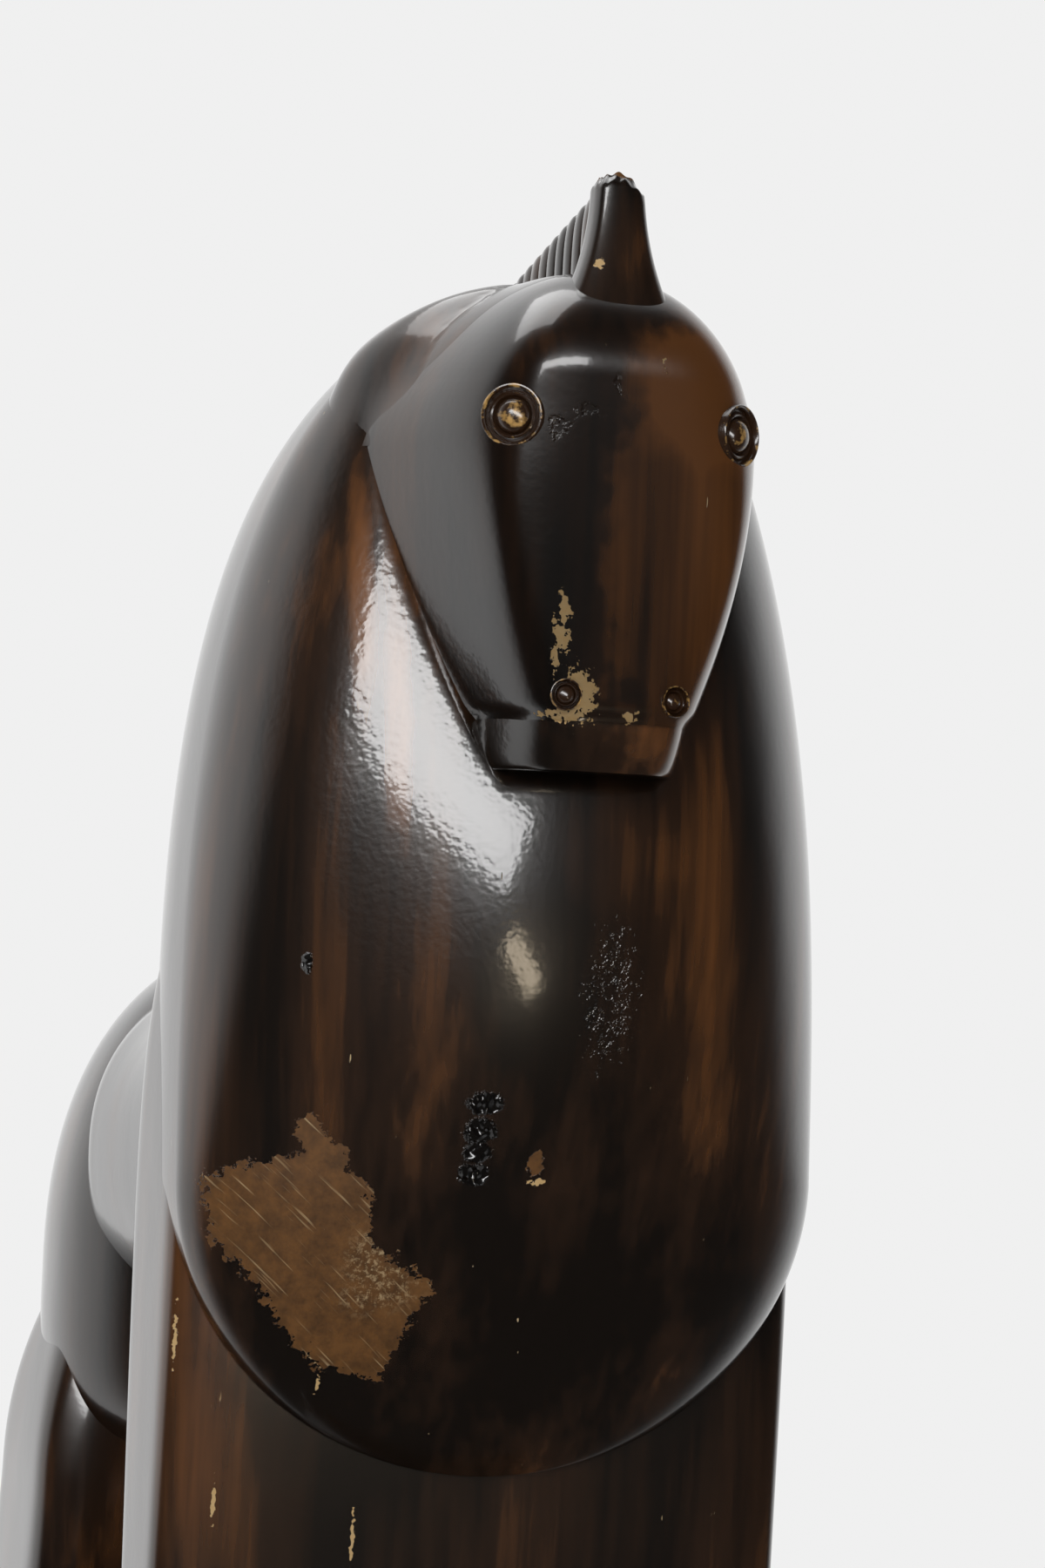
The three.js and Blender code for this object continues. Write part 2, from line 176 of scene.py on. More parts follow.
# Where the neck meets the head: it rolls in beside the jaw, and a fillet joins it to the crown
JAW_ROLL = 0.45
JAW_ROLL_WIDE = 0.9
JAW_SLOPE = 0.85  # share of a level distance that is square to the slanting jaw
FILLET_TURNS = (0.86, 1.5)
FILLET_MIDDLE = (6.5, 8.5)
FILLET_LONG = (6.5, 4.5)
FILLET_GROWS = (86.8, 92.5)
FILLET_WIDE = 2.8
FILLET_SINK = 0.04  # how far the fillet lies inside the forms that it joins
FILLET_LEAST_HALF = 0.05
FILLET_LONG_FULLNESS = 3
FILLET_SIDE_FULLNESS = 14

# Eyes and nostrils
EYE_HIGH = 87.4
EYE_SIDE = 5.9
EYE_RING = 1.52
NOSTRIL_HIGH = 74.3
NOSTRIL_SIDE = 2.8
NOSTRIL_RING = 0.77
RING_AROUND = 72
DOME_SHARE = 0.56
DOME_FOOT = -0.3
DOME_RISE = 0.55
GROOVE_LOW = -0.34
PROUD_SPAN = 0.44  # outward distance over which an eye counts as more and more proud
HOLE_SHARE = 0.97
HOLE_LOW = -1.0
HOLE_HIGH = 1.2

# Rim, groove, ledge and second groove of an eye, as shares of its radius and outward distances
RING_STEPS = [
    (1.0, -1.2), (1.0, 0.02), (0.975, 0.08), (0.94, 0.085), (0.9, 0.04), (0.87, -0.1),
    (0.84, -0.26), (0.8, -0.3), (0.76, -0.26), (0.73, -0.12), (0.69, -0.08), (0.64, -0.12),
    (0.6, -0.3), (DOME_SHARE, GROOVE_LOW),
]

# Forelock and mane
LOCK_FORWARD = 14.6
LOCK_HALF_TOP = 1.25
LOCK_HALF_LOW = 3.5
LOCK_THICK = 1.1
LOCK_THICK_LOW = 1.7
LOCK_FLARE = 2.2
LOCK_FULLNESS = 3
LOCK_SINK = 3.5
LOCK_LEAN = 0.5
LOCK_SOFT = 0.3
BREAK_LEFT = 0.66  # how far the broken top of the forelock falls away to each side
BREAK_RIGHT = 0.2
BREAK_CHIP = 0.09
MANE_START = 13.9
MANE_HALF = 1.15
MANE_TALL = 4.9
MANE_TALL_BACK = 3.4
MANE_TALL_END = 0.6
MANE_LEVEL = 0.42
MANE_SINK = 0.5
MANE_LEAN_AHEAD = 0.04
MANE_LEAN_BEHIND = 0.3
MANE_LEAN_DOWN = 1.05  # how much more it leans where the crest turns down
MANE_ROOT = 2.5  # how far the mane goes down into the neck
MANE_TOP_SHARE = 0.72
MANE_FULLNESS = 4
CREST_TURNS = (1.155, 0.4)
RIDGE_STEPS = 12

FORWARD_MIDDLE = (FACE_FRONT + TAIL_BACK) / 2
PLINTH_CHAMFER = 2.5 * MILLIMETRE
SMOOTH_BELOW = radians(38)

# The photograph's camera, found from the outline, the eyes and the edges of the legs
PHOTO_HIGH = 1800  # pixels
PHOTO_FOCUS = 4250  # pixels
SENSOR_HIGH = 36
CAMERA_NEAR = 0.01
CAMERA_PLACE = (-0.2540, -0.7788, 0.2711)
CAMERA_AZIMUTH = radians(19.83)
CAMERA_PITCH = radians(2.45)
CAMERA_ROLL = radians(2.38)

# Where the lights point, and how far away the large ones are, in metres
THROAT = Vector((-0.02, -0.10, 0.30))
LIGHT_DISTANCE = 1.6
WARM = (1, 0.84, 0.62)

# Light of the surround: a dim room ahead, walls that grow pale from beside the horse to behind it
ROOM_LIGHT = 0.025
WALL_LIGHT = 0.86
WALL_FROM = -0.12
WALL_TO = 0.4
BACKGROUND_LIGHT = 0.87

# Outline of the large chipped patch as side and high, read off the photograph
PATCH_OUTLINE = (
    (-16.3, 50.4), (-14.2, 51.3), (-12.5, 51.6), (-12.2, 54.0), (-10.6, 52.5), (-8.9, 50.3),
    (-8.1, 47.4), (-5.2, 45.7), (-5.9, 42.6), (-6.9, 40.7), (-9.6, 41.1), (-11.6, 42.9),
    (-13.6, 45.5), (-15.6, 47.5),
)
PATCH_REACH = 20.0  # millimetres of distance that the patch's attribute spans
PATCH_RAGGED = 11.0  # millimetres that a cloud moves the patch's edge from least to most
SCRATCH_SLANT = radians(48)


def linear(code):
    """An sRGB hex colour as linear red, green and blue."""
    parts = [int(code[i:i + 2], 16) / 255 for i in (1, 3, 5)]
    return [p / 12.92 if p <= 0.04045 else ((p + 0.055) / 1.055) ** 2.4 for p in parts]


# Sizes and colours that a user would change

class HorseSizes(bpy.types.PropertyGroup):
    ridge_count: bpy.props.IntProperty(
        name="Mane ridges", description="Ridges cut across the mane, forelock to withers",
        default=34, min=4, max=80)
    ridge_depth: bpy.props.FloatProperty(
        name="Ridge depth", description="Depth of the grooves between the mane's ridges",
        default=0.3 * UNIT, unit="LENGTH")
    ripple: bpy.props.FloatProperty(
        name="Lacquer ripple", description="Height of the fine ripple in the brushed lacquer",
        default=0.03 * MILLIMETRE, unit="LENGTH", precision=6)
    plinth_round: bpy.props.FloatProperty(
        name="Plinth edge", description="Radius of the plinth's worn edges",
        default=0.8 * MILLIMETRE, unit="LENGTH", precision=5)
    floor_radius: bpy.props.FloatProperty(
        name="Floor radius", description="Radius of the pale round floor",
        default=0.75, unit="LENGTH")


def colour_property(name, description, code):
    """A colour that the user can change, its default given as an sRGB hex value."""
    return bpy.props.FloatVectorProperty(
        name=name, description=description, subtype="COLOR", size=3, min=0, max=1,
        default=linear(code))


class HorseColours(bpy.types.PropertyGroup):
    dark: colour_property("Dark lacquer", "Thick, nearly black lacquer", "#120b06")
    brown: colour_property("Brown lacquer", "Usual tone of the lacquer", "#2d1c10")
    amber: colour_property("Amber lacquer", "Where the lacquer is thin over the wood", "#6e4421")
    ground: colour_property("Bare ground", "Ochre ground under the chipped lacquer", "#644016")
    gold: colour_property("Worn rims", "Rubbed edges of the eyes and the forelock", "#b08a4e")
    scratch: colour_property("Scratches", "Pale nicks and scratches", "#b9a27a")
    floor: colour_property("Floor", "Pale studio floor", "#e9e8e6")


def sizes():
    return bpy.context.scene.horse_sizes


def colours():
    return bpy.context.scene.horse_colours


# Curves that the forms are made from

def bend(value, fullness):
    """Signed power 2 / fullness, which turns a circle into a squarer closed curve."""
    return np.sign(value) * np.abs(value) ** (2.0 / fullness)


def ease(value, start, end):
    """Smooth step from 0 to 1 between two values, 3 s^2 - 2 s^3."""
    share = np.clip((value - start) / (end - start), 0, 1)
    return share * share * (3 - 2 * share)


def blend(start, end, share):
    """Straight mix of two values, from the first at share 0 to the second at share 1."""
    return start + (end - start) * share


def bump(value, middle, width):
    """Soft bump that is 1 at its middle and 0 one width away."""
    return ease(np.abs(value - middle), width, 0)


def place(side, forward, high):
    """Metres of a place given in hundredths of the height, with coordinates on the last axis."""
    side, forward, high = np.broadcast_arrays(side, forward, high)
    return np.stack([
        side * UNIT,
        (FORWARD_MIDDLE - forward) * UNIT,
        HORSE_LOW.z + high * UNIT,
    ], axis=-1)


def circle(count):
    """Angles round a ring, from the left side over the back to the right side and the front."""
    return np.linspace(0, 2 * pi, count, endpoint=False)[None, :]


def stations(count):
    """Shares from 0 to 1, one for each ring of a skin."""
    return np.linspace(0, 1, count)[:, None]


def closed_skin(rings):
    """Points and faces of a stack of rings, each end closed by a fan round its middle point."""
    rows, around, _ = rings.shape
    ends = rings[[0, -1]].mean(axis=1)
    points = np.concatenate([rings.reshape(-1, 3), ends])
    index = np.arange(rows * around).reshape(rows, around)
    beside = np.roll(index, -1, axis=1)
    quads = np.stack([index[:-1], beside[:-1], beside[1:], index[1:]], axis=-1).reshape(-1, 4)
    foot = np.full(around, rows * around)
    low_fan = np.stack([beside[0], index[0], foot], axis=-1)
    top_fan = np.stack([index[-1], beside[-1], foot + 1], axis=-1)
    fans = np.concatenate([low_fan, top_fan])
    if enclosed(points, quads, fans) < 0:
        quads, fans = quads[:, ::-1], fans[:, ::-1]
    return points, quads.tolist() + fans.tolist()


def enclosed(points, quads, fans):
    """Volume inside the faces: the sum of a . (b x c) / 6 over their triangles."""
    triangles = np.concatenate([quads[:, [0, 1, 2]], quads[:, [0, 2, 3]], fans])
    a, b, c = (points[triangles[:, i]] for i in range(3))
    return (a * np.cross(b, c)).sum() / 6


# Meshes and pieces

def new_mesh(name, skin):
    """A mesh of the points and faces of a skin."""
    points, faces = skin
    mesh = bpy.data.meshes.new(name)
    mesh.from_pydata(points.tolist(), [], faces)
    mesh.validate()
    return mesh


def keep_attribute(mesh, name, values):
    """One number for each point of the mesh, for a pattern that follows its surface."""
    layer = mesh.attributes.new(name, "FLOAT", "POINT")
    full = np.zeros(len(mesh.vertices), np.float32)
    full[:values.size] = values.ravel()
    layer.data.foreach_set("value", full)


def add_piece(name, mesh, node, material):
    """Shows a mesh as a piece that stands for its CAD node."""
    mesh.shade_smooth()
    mesh.set_sharp_from_angle(angle=SMOOTH_BELOW)
    mesh.materials.clear()
    mesh.materials.append(material)
    piece = bpy.data.objects.new(name, mesh)
    bpy.context.scene.collection.objects.link(piece)
    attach(piece, "root")
    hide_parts(node)


def add_carved(name, mesh):
    """Shows a mesh as a piece of the carved and lacquered horse."""
    add_piece(name, mesh, "horse", lacquered_wood())


def add_forms(forms):
    """Shows a closed skin as a carved piece for each named form."""
    for name, form in forms.items():
        add_carved(name, new_mesh(name, closed_skin(form())))


def cut_away(mesh, cutter, name):
    """The mesh with the cutter's inside taken out of it."""
    body = bpy.data.objects.new(name, mesh)
    tool = bpy.data.objects.new(name + "_cutter", cutter)
    for thing in (body, tool):
        bpy.context.scene.collection.objects.link(thing)
    cut = body.modifiers.new("cut", "BOOLEAN")
    cut.operation = "DIFFERENCE"
    cut.solver = "EXACT"
    cut.object = tool
    graph = bpy.context.evaluated_depsgraph_get()
    result = bpy.data.meshes.new_from_object(body.evaluated_get(graph))
    result.name = name
    for thing in (body, tool):
        bpy.data.objects.remove(thing)
    return result


# Forms of the horse

def egg_ring(turn):
    """Level ring of the egg at a turn from -90 degrees at its foot to 90 degrees at its top."""
    upper = turn > 0
    fullness = np.where(upper, DOME_FULLNESS, 2)
    reach = np.where(upper, CHEST_TOP - CHEST_WIDEST, CHEST_WIDEST - CHEST_LOW)
    high = CHEST_WIDEST + reach * bend(np.sin(turn), fullness)
    width = np.abs(np.cos(turn)) ** (2 / fullness)
    rise = np.clip((high - CHEST_WIDEST) / (CHEST_TOP - CHEST_WIDEST), 0, 1)
    middle = FORE_FRONT * (1 - rise) ** 2 + CREST_LEAN * rise ** 8
    below = np.clip((CHEST_FRONT_HIGH - high) / (CHEST_FRONT_HIGH - CHEST_LOW), 0, 1)
    bulge = (CHEST_FRONT - FORE_FRONT) * (1 - below ** 2) + FORE_FRONT - middle
    return {
        "high": high,
        "half": CHEST_HALF * width,
        "middle": middle,
        "front": np.where(upper, bulge * width, bulge),
        "back": np.where(upper, CREST_BACK * width, CREST_BACK * width ** 2),
        "rim": EGG_RIM_LOW + EGG_RIM_RISE * np.where(upper, 1, width),
    }


def chest_form():
    """Rings of half width times cos^(2/n) and depth times sin^(2/m), over the turns of the egg.

    Beside the jaw the skin rolls in by a parabola of its distance from the head's outline. The
    grid is finer ahead, for the teeth of the chipped patch.
    """
    back = np.linspace(0, pi, 80, endpoint=False)
    front = np.linspace(pi, 2 * pi, 300, endpoint=False)
    angle = np.concatenate([back, front])[None, :]
    lower = -QUARTER * (1 - np.linspace(0.004, 1, 84))
    upper = QUARTER * np.linspace(0, 0.997, 172)[1:] ** 1.3
    ring = egg_ring(np.concatenate([lower, upper])[:, None])
    ahead = np.sin(angle) < 0
    side = ring["half"] * bend(np.cos(angle), np.where(ahead, EGG_FRONT_FULLNESS, EGG_BACK_FULLNESS))
    reach = np.where(
        ahead,
        -ring["front"] * bend(np.sin(angle), ring["rim"]),
        -ring["back"] * bend(np.sin(angle), EGG_BACK_FULLNESS))
    apart = np.where(ahead, jaw_distance(side, ring["high"]), np.inf)
    roll = JAW_ROLL * np.clip(1 - apart / JAW_ROLL_WIDE, 0, 1) ** 2
    forward = ring["middle"] + reach - roll
    return side, forward, ring["high"]


def jaw_distance(side, high):
    """Distance of a point of the chest outwards from the outline of the head, as seen from ahead."""
    level = np.clip(high, HEAD_LOW, CROWN_HIGH - 0.1)
    beyond = np.abs(side) - head_ring(level)["half"]
    below = np.clip(HEAD_LOW - high, 0, None)
    return np.where(below > 0, np.hypot(np.clip(beyond, 0, None), below), beyond * JAW_SLOPE)


def patch_distance(side, high):
    """Signed distance in millimetres to the outline of the chipped patch, above 0 inside it.

    The least distance to its edges, with the sign from how often a level line crosses them.
    """
    start = np.array(PATCH_OUTLINE)
    end = np.roll(start, -1, axis=0)
    edge = end - start
    point = np.stack(np.broadcast_arrays(side, high), axis=-1)[..., None, :]
    from_start = point - start
    share = np.clip((from_start * edge).sum(-1) / (edge ** 2).sum(-1), 0, 1)
    apart = np.linalg.norm(from_start - share[..., None] * edge, axis=-1).min(axis=-1)
    crosses = (start[:, 1] > point[..., 1]) != (end[:, 1] > point[..., 1])
    rise = np.where(edge[:, 1] == 0, 1, edge[:, 1])
    where = start[:, 0] + (point[..., 1] - start[:, 1]) / rise * edge[:, 0]
    inside = (crosses & (point[..., 0] < where)).sum(axis=-1) % 2 == 1
    return np.where(inside, apart, -apart) * UNIT / MILLIMETRE


def leg_block(half, hide_from, top, hide_share, hide_power, front_at, back_at):
    """Level, nearly square rings from the flared hooves up, drawn in where the body hides them.

    The draw is hide_share times a power of the share of the way from hide_from to the top.
    """
    angle = circle(240)
    hoof = np.linspace(0, HOOF_HIGH, 24)
    shank = np.linspace(HOOF_HIGH, top, 100)[1:]
    high = np.concatenate([hoof, shank])[:, None]
    spread = 1 - (1 - HOOF_TOP_SHARE) * high / HOOF_HIGH
    flare = HOOF_SPREAD * np.where(high < HOOF_HIGH, spread, 0)
    front = front_at(high) + flare
    back = back_at(high) - flare
    hidden = np.clip((high - hide_from) / (top - hide_from), 0, 1)
    hide = 1 - hide_share * hidden ** hide_power
    deep = hide * (front - back) / 2
    corner = blend(LEG_FULLNESS, FADED_FULLNESS, ease(hidden, 0, 1))
    side = hide * (half + flare / 2) * bend(np.cos(angle), corner)
    forward = (front + back) / 2 - deep * bend(np.sin(angle), corner)
    return place(side, forward, high)


def forelegs_form():
    """A leg block that draws in a little between the chest and the hooves."""
    def slim(high):
        return FORE_TAPER * ease(high, CHEST_WIDEST, FORE_SLIM_LOW)
    return leg_block(
        FORE_HALF, FORE_HIDE_FROM, FORE_TOP, hide_share=0.2, hide_power=4,
        front_at=lambda high: FORE_FRONT - slim(high),
        back_at=lambda high: FORE_BACK + slim(high))


def hind_legs_form():
    """A leg block with the hock as a soft bump behind and a shank that leans back below it."""
    def hock(high):
        return HOCK_BACK * bump(high, HOCK_HIGH, RUMP_LOW - HOCK_HIGH)

    def shank(high):
        return SHANK_BACK * ease(high, RUMP_LOW, SHANK_LOW)
    return leg_block(
        HIND_HALF, HIND_HIDE_FROM, HIND_TOP, hide_share=0.3, hide_power=2,
        front_at=lambda high: HIND_FRONT - shank(high) - hock(high) * HOCK_FRONT_SHARE,
        back_at=lambda high: HIND_BACK - hock(high))


def gap_form():
    """Tall arch between the legs: half width closing by the root of 1 - c s^5 towards its top."""
    angle, station = circle(64), stations(90)
    reach = 2 * (FACE_FRONT - TAIL_BACK)
    shut = (1 - GAP_CLOSE * station ** 5) ** 0.5
    half = blend(GAP_HALF_LOW, GAP_HALF_HIGH, station) * shut
    side = half * bend(np.cos(angle), LEG_FULLNESS)
    forward = FORWARD_MIDDLE - reach * bend(np.sin(angle), LEG_FULLNESS)
    return place(side, forward, blend(GAP_LOW, GAP_TOP, station ** 0.5))


def barrel_form():
    """Upright rings from the rump to the shoulders.

    The back rises by s^1.6 of the length and dips by sin(pi s)^1.2.
    """
    angle, station = circle(160), stations(90)
    forward = blend(RUMP_MIDDLE, BARREL_FRONT, station)
    dip = np.sin(pi * station) ** 1.2
    hide = BARREL_HIDE * ease(station, 0.2, 0)
    back = blend(RUMP_HIGH - LOIN_SINK, WITHERS_HIGH, station ** 1.6)
    top = back - (RUMP_HIGH - BACK_HIGH) * dip
    low = BELLY_HIGH - BELLY_SINK * (1 - dip)
    widening = ease(station, SHOULDER_START, SHOULDER_END)
    half = blend(BARREL_HALF, SHOULDER_HALF, widening) * (1 - hide)
    side = half * bend(np.cos(angle), BARREL_FULLNESS)
    high = (top + low) / 2 + (top - low) / 2 * bend(np.sin(angle), RUMP_FULLNESS)
    return place(side, forward, high)


def rump_form():
    """Level rings of an egg, fuller below where its edge turns in over the hind legs."""
    angle = circle(200)
    turn = -QUARTER + pi * np.linspace(0.004, 0.996, 140)[:, None]
    upper = turn > 0
    fullness = np.where(upper, RUMP_FULLNESS, HAUNCH_FULLNESS)
    reach = np.where(upper, RUMP_HIGH - RUMP_WIDEST, RUMP_WIDEST - RUMP_LOW)
    width = np.abs(np.cos(turn)) ** (2 / fullness)
    side = RUMP_HALF * width * bend(np.cos(angle), RUMP_FULLNESS)
    long = RUMP_LONG * width * np.where(upper, 1, 1 - HAUNCH_DRAW_IN * np.sin(turn) ** 2)
    forward = RUMP_MIDDLE - long * bend(np.sin(angle), RUMP_FULLNESS)
    return place(side, forward, RUMP_WIDEST + reach * bend(np.sin(turn), fullness))


def tail_form():
    """Narrow rings down the line of the tail, which leaves the rump and then hangs straight."""
    angle, station = circle(80), stations(100)
    high = blend(TAIL_LOW, TAIL_HIGH, station)
    root = RUMP_MIDDLE - TAIL_ROOT_SHARE * RUMP_LONG
    line = blend(TAIL_BACK + TAIL_THICK, root, ease(high, TAIL_BEND_LOW, TAIL_HIGH))
    narrow = blend(TAIL_NARROW, 1, np.sin(pi * station) ** 0.5)
    side = TAIL_HALF * narrow * bend(np.cos(angle), TAIL_FULLNESS)
    forward = line - TAIL_THICK * narrow * bend(np.sin(angle), TAIL_FULLNESS)
    return place(side, forward, high)


def head_ring(high):
    """Sizes of a level ring of the head."""
    share = np.clip((high - HEAD_LOW) / (BROW_HIGH - HEAD_LOW), 0, 1)
    climb = np.clip((high - BROW_HIGH) / (CROWN_HIGH - BROW_HIGH), 0, 1)
    close = np.clip((high - CROWN_START) / (CROWN_HIGH - CROWN_START), 0, 1)
    round_off = (1 - climb ** CROWN_FULLNESS) ** (1 / CROWN_FULLNESS)
    narrow = (1 - close ** CROWN_CLOSE_FULLNESS) ** (1 / CROWN_CLOSE_FULLNESS)
    jaw = blend(JAW_LINE_LOW, JAW_LINE_HIGH, share)
    jaw_share = CHIN_SHARE + (1 - CHIN_SHARE) * np.sin(QUARTER * share ** JAW_SWELL)
    return {
        "half": JAW_HALF * jaw_share * blend(CROWN_LEAST_HALF, 1, narrow),
        "middle": jaw,
        "front": (FACE_FRONT - jaw) * blend(CROWN_LEAST_FRONT, 1, round_off),
        "back": blend(JAW_BACK_LOW, JAW_BACK_HIGH, share),
        "taper": blend(CHEEK_TAPER_LOW, CHEEK_TAPER_HIGH, share),
        "fullness": FACE_FULLNESS + FACE_CRISP * bump(share, FACE_CRISP_SHARE, FACE_CRISP_REACH),
    }


def head_form():
    """Level rings that taper towards the face, straight up to the brow and rounded above it."""
    angle = circle(260)
    low = HEAD_LOW + LIP_HIGH
    straight = np.linspace(low, BROW_HIGH, 120)
    crown = BROW_HIGH + (CROWN_HIGH - BROW_HIGH) * np.sin(QUARTER * np.linspace(0, 0.99, 64)[1:])
    high = np.concatenate([straight, crown])[:, None]
    ring = head_ring(high)
    soft = 1 - FACE_EDGE_DRAW * ease(high, low + FACE_EDGE_HIGH, low) ** 2
    deep = np.where(np.sin(angle) < 0, ring["front"] * soft, ring["back"])
    reach = bend(-np.sin(angle), ring["fullness"])
    tapered = ring["half"] * soft * (1 - ring["taper"] * reach)
    side = tapered * bend(np.cos(angle), ring["fullness"])
    return place(side, ring["middle"] + deep * reach, high)


def lip_form():
    """Level rings of the lip and chin, set back under the edge of the face and drawn in below."""
    angle, station = circle(200), stations(30)
    top = HEAD_LOW + LIP_HIGH
    high = blend(HEAD_LOW, top + LIP_OVERLAP, station)
    ring = head_ring(high)
    muzzle = head_ring(np.array(top))
    front = ring["front"] - LIP_RECESS - LIP_DRAW * (1 - station) ** 1.5
    deep = np.where(np.sin(angle) < 0, front, ring["back"])
    half = (muzzle["half"] - LIP_INSET) * blend(LIP_SHARE, 1, station ** 0.5)
    reach = bend(-np.sin(angle), LIP_FULLNESS)
    side = half * (1 - ring["taper"] * reach) * bend(np.cos(angle), LIP_FULLNESS)
    return place(side, ring["middle"] + deep * reach, high)


def width_at(share, long_fullness, side_fullness):
    """Width of a squared circle at a share of its length, falling on below 0 past its end."""
    inside = (1 - np.clip(np.abs(share), 0, 1) ** long_fullness) ** (1 / side_fullness)
    return inside - 0.5 * np.clip(np.abs(share) - 1, 0, 1)


def crown_fillet_form():
    """Level rings that join the crown to the neck without a crease above the jaw's groove.

    At each forward place the side is the smooth maximum (a + b + sqrt((a - b)^2 + k^2)) / 2 of the
    head's side and the neck's side, where k grows from nothing at the brow.
    """
    angle = circle(200)
    rise = np.linspace(0, 1, 90)[:, None]
    egg = egg_ring(blend(*FILLET_TURNS, rise))
    high = egg["high"]
    head = head_ring(high)
    reach = bend(-np.sin(angle), FILLET_LONG_FULLNESS)
    forward = blend(*FILLET_MIDDLE, rise) + blend(*FILLET_LONG, rise) * reach
    head_deep = np.where(forward > head["middle"], head["front"], head["back"])
    ahead = (forward - head["middle"]) / head_deep
    head_width = width_at(ahead, FACE_FULLNESS, FACE_FULLNESS)
    head_side = head["half"] * (1 - head["taper"] * ahead) * head_width
    behind = width_at((forward - egg["middle"]) / egg["back"], EGG_BACK_FULLNESS, EGG_BACK_FULLNESS)
    before = width_at((forward - egg["middle"]) / egg["front"], egg["rim"], EGG_FRONT_FULLNESS)
    egg_side = egg["half"] * np.where(forward < egg["middle"], behind, before)
    width = FILLET_WIDE * ease(high, *FILLET_GROWS)
    side = (head_side + egg_side + np.sqrt((head_side - egg_side) ** 2 + width ** 2)) / 2
    side = np.clip(side - FILLET_SINK, FILLET_LEAST_HALF, None)
    side = side * bend(np.cos(angle), FILLET_SIDE_FULLNESS)
    return place(side, forward, high - FILLET_SINK)


def face_spot(side, high):
    """Forward place and sideways slope of the face at a side and a height."""
    ring = {key: float(value) for key, value in head_ring(np.array(float(high))).items()}
    angle = np.linspace(0.001, QUARTER, 4000)
    reach = np.sin(angle) ** (2 / ring["fullness"])
    across = ring["half"] * (1 - ring["taper"] * reach) * np.cos(angle) ** (2 / ring["fullness"])
    forward = ring["middle"] + ring["front"] * reach
    near = np.argmin(np.abs(across - abs(side)))
    rise = np.gradient(forward)[near]
    run = -np.gradient(across)[near]
    return forward[near], atan2(rise, run) * (1 if side > 0 else -1)


def turned_form(profile, side, high, around=RING_AROUND):
    """A profile of radius and outward distance turned about the face's outward slope."""
    forward, slope = face_spot(side, high)
    radius, out = np.array(profile).T
    radius, out = radius[:, None], out[:, None]
    angle = circle(around)
    across = radius * np.cos(angle)
    side_at = side + across * cos(slope) + out * sin(slope)
    forward_at = forward - across * sin(slope) + out * cos(slope)
    return place(side_at, forward_at, high + radius * np.sin(angle))


def ring_profile(ring):
    """Rim, grooves and round dome of an eye or nostril, from its outside in."""
    rise = DOME_RISE * ring / EYE_RING
    dome = [
        (max(DOME_SHARE * cos(turn), 0.003), DOME_FOOT + rise * sin(turn))
        for turn in np.linspace(0, QUARTER, 14)
    ]
    return [(share * ring, out) for share, out in RING_STEPS + dome]


def forelock_form():
    """Level rings that flare into the crown and are broken off unevenly on top.

    The break falls away to both sides, more to the left, with chips from a product of two sines.
    """
    angle, station = circle(140), stations(110)
    flare = (1 - station) ** LOCK_FLARE
    soft = 1 - LOCK_SOFT * ease(station, 0.9, 1) ** 2
    half = blend(LOCK_HALF_TOP, LOCK_HALF_LOW, flare) * soft
    thick = blend(LOCK_THICK, LOCK_THICK_LOW, flare) * soft
    side = half * bend(np.cos(angle), LOCK_FULLNESS)
    forward = LOCK_FORWARD - LOCK_LEAN * station - thick * bend(np.sin(angle), LOCK_FULLNESS)
    worn = BREAK_LEFT * ease(side, -0.2, 1.3) + BREAK_RIGHT * ease(side, -0.3, -1.2)
    chips = BREAK_CHIP * (1 + np.sin(side * 9.1 + forward * 3) * np.sin(forward * 7.7 + 1))
    whole = blend(CROWN_HIGH - LOCK_SINK, 100, station)
    return place(side, forward, whole - (worn + chips) * ease(station, 0.8, 1))


def crest_at(share):
    """Place of the crest, the mane's height over it and its lean, from the forelock to the withers."""
    along = np.clip((share - MANE_LEVEL) / (1 - MANE_LEVEL), 0, 1)
    ring = egg_ring(blend(*CREST_TURNS, along))
    ahead = np.clip(1 - share / MANE_LEVEL, 0, 1)
    tall_back = blend(MANE_TALL_BACK, MANE_TALL_END, along ** 1.6)
    tall_ahead = blend(MANE_TALL_BACK, MANE_TALL, ahead)
    lean = blend(MANE_LEAN_AHEAD, MANE_LEAN_BEHIND, 1 - ahead)
    return {
        "forward": blend(ring["middle"] - ring["back"], MANE_START, ahead),
        "high": blend(ring["high"], CROWN_HIGH - MANE_SINK, ahead),
        "tall": np.where(along > 0, tall_back, tall_ahead),
        "lean": lean + MANE_LEAN_DOWN * ease(along, 0, 0.9),
    }


def mane_form():
    """Upright rings along the crest; the grooves are a power of a sine of the length."""
    count = sizes().ridge_count
    depth = sizes().ridge_depth / UNIT
    angle, station = circle(48), stations(count * RIDGE_STEPS + 1)
    spot = crest_at(station)
    dip = depth * (1 - np.abs(np.sin(pi * count * station))) ** 1.5
    tall = spot["tall"] - dip + MANE_ROOT
    out = tall / 2 * (1 - bend(np.sin(angle), MANE_FULLNESS)) - MANE_ROOT
    thin = blend(1, MANE_TOP_SHARE, (out + MANE_ROOT) / tall)
    side = (MANE_HALF - dip) * thin * bend(np.cos(angle), MANE_FULLNESS)
    forward = spot["forward"] - out * np.sin(spot["lean"])
    return place(side, forward, spot["high"] + out * np.cos(spot["lean"]))


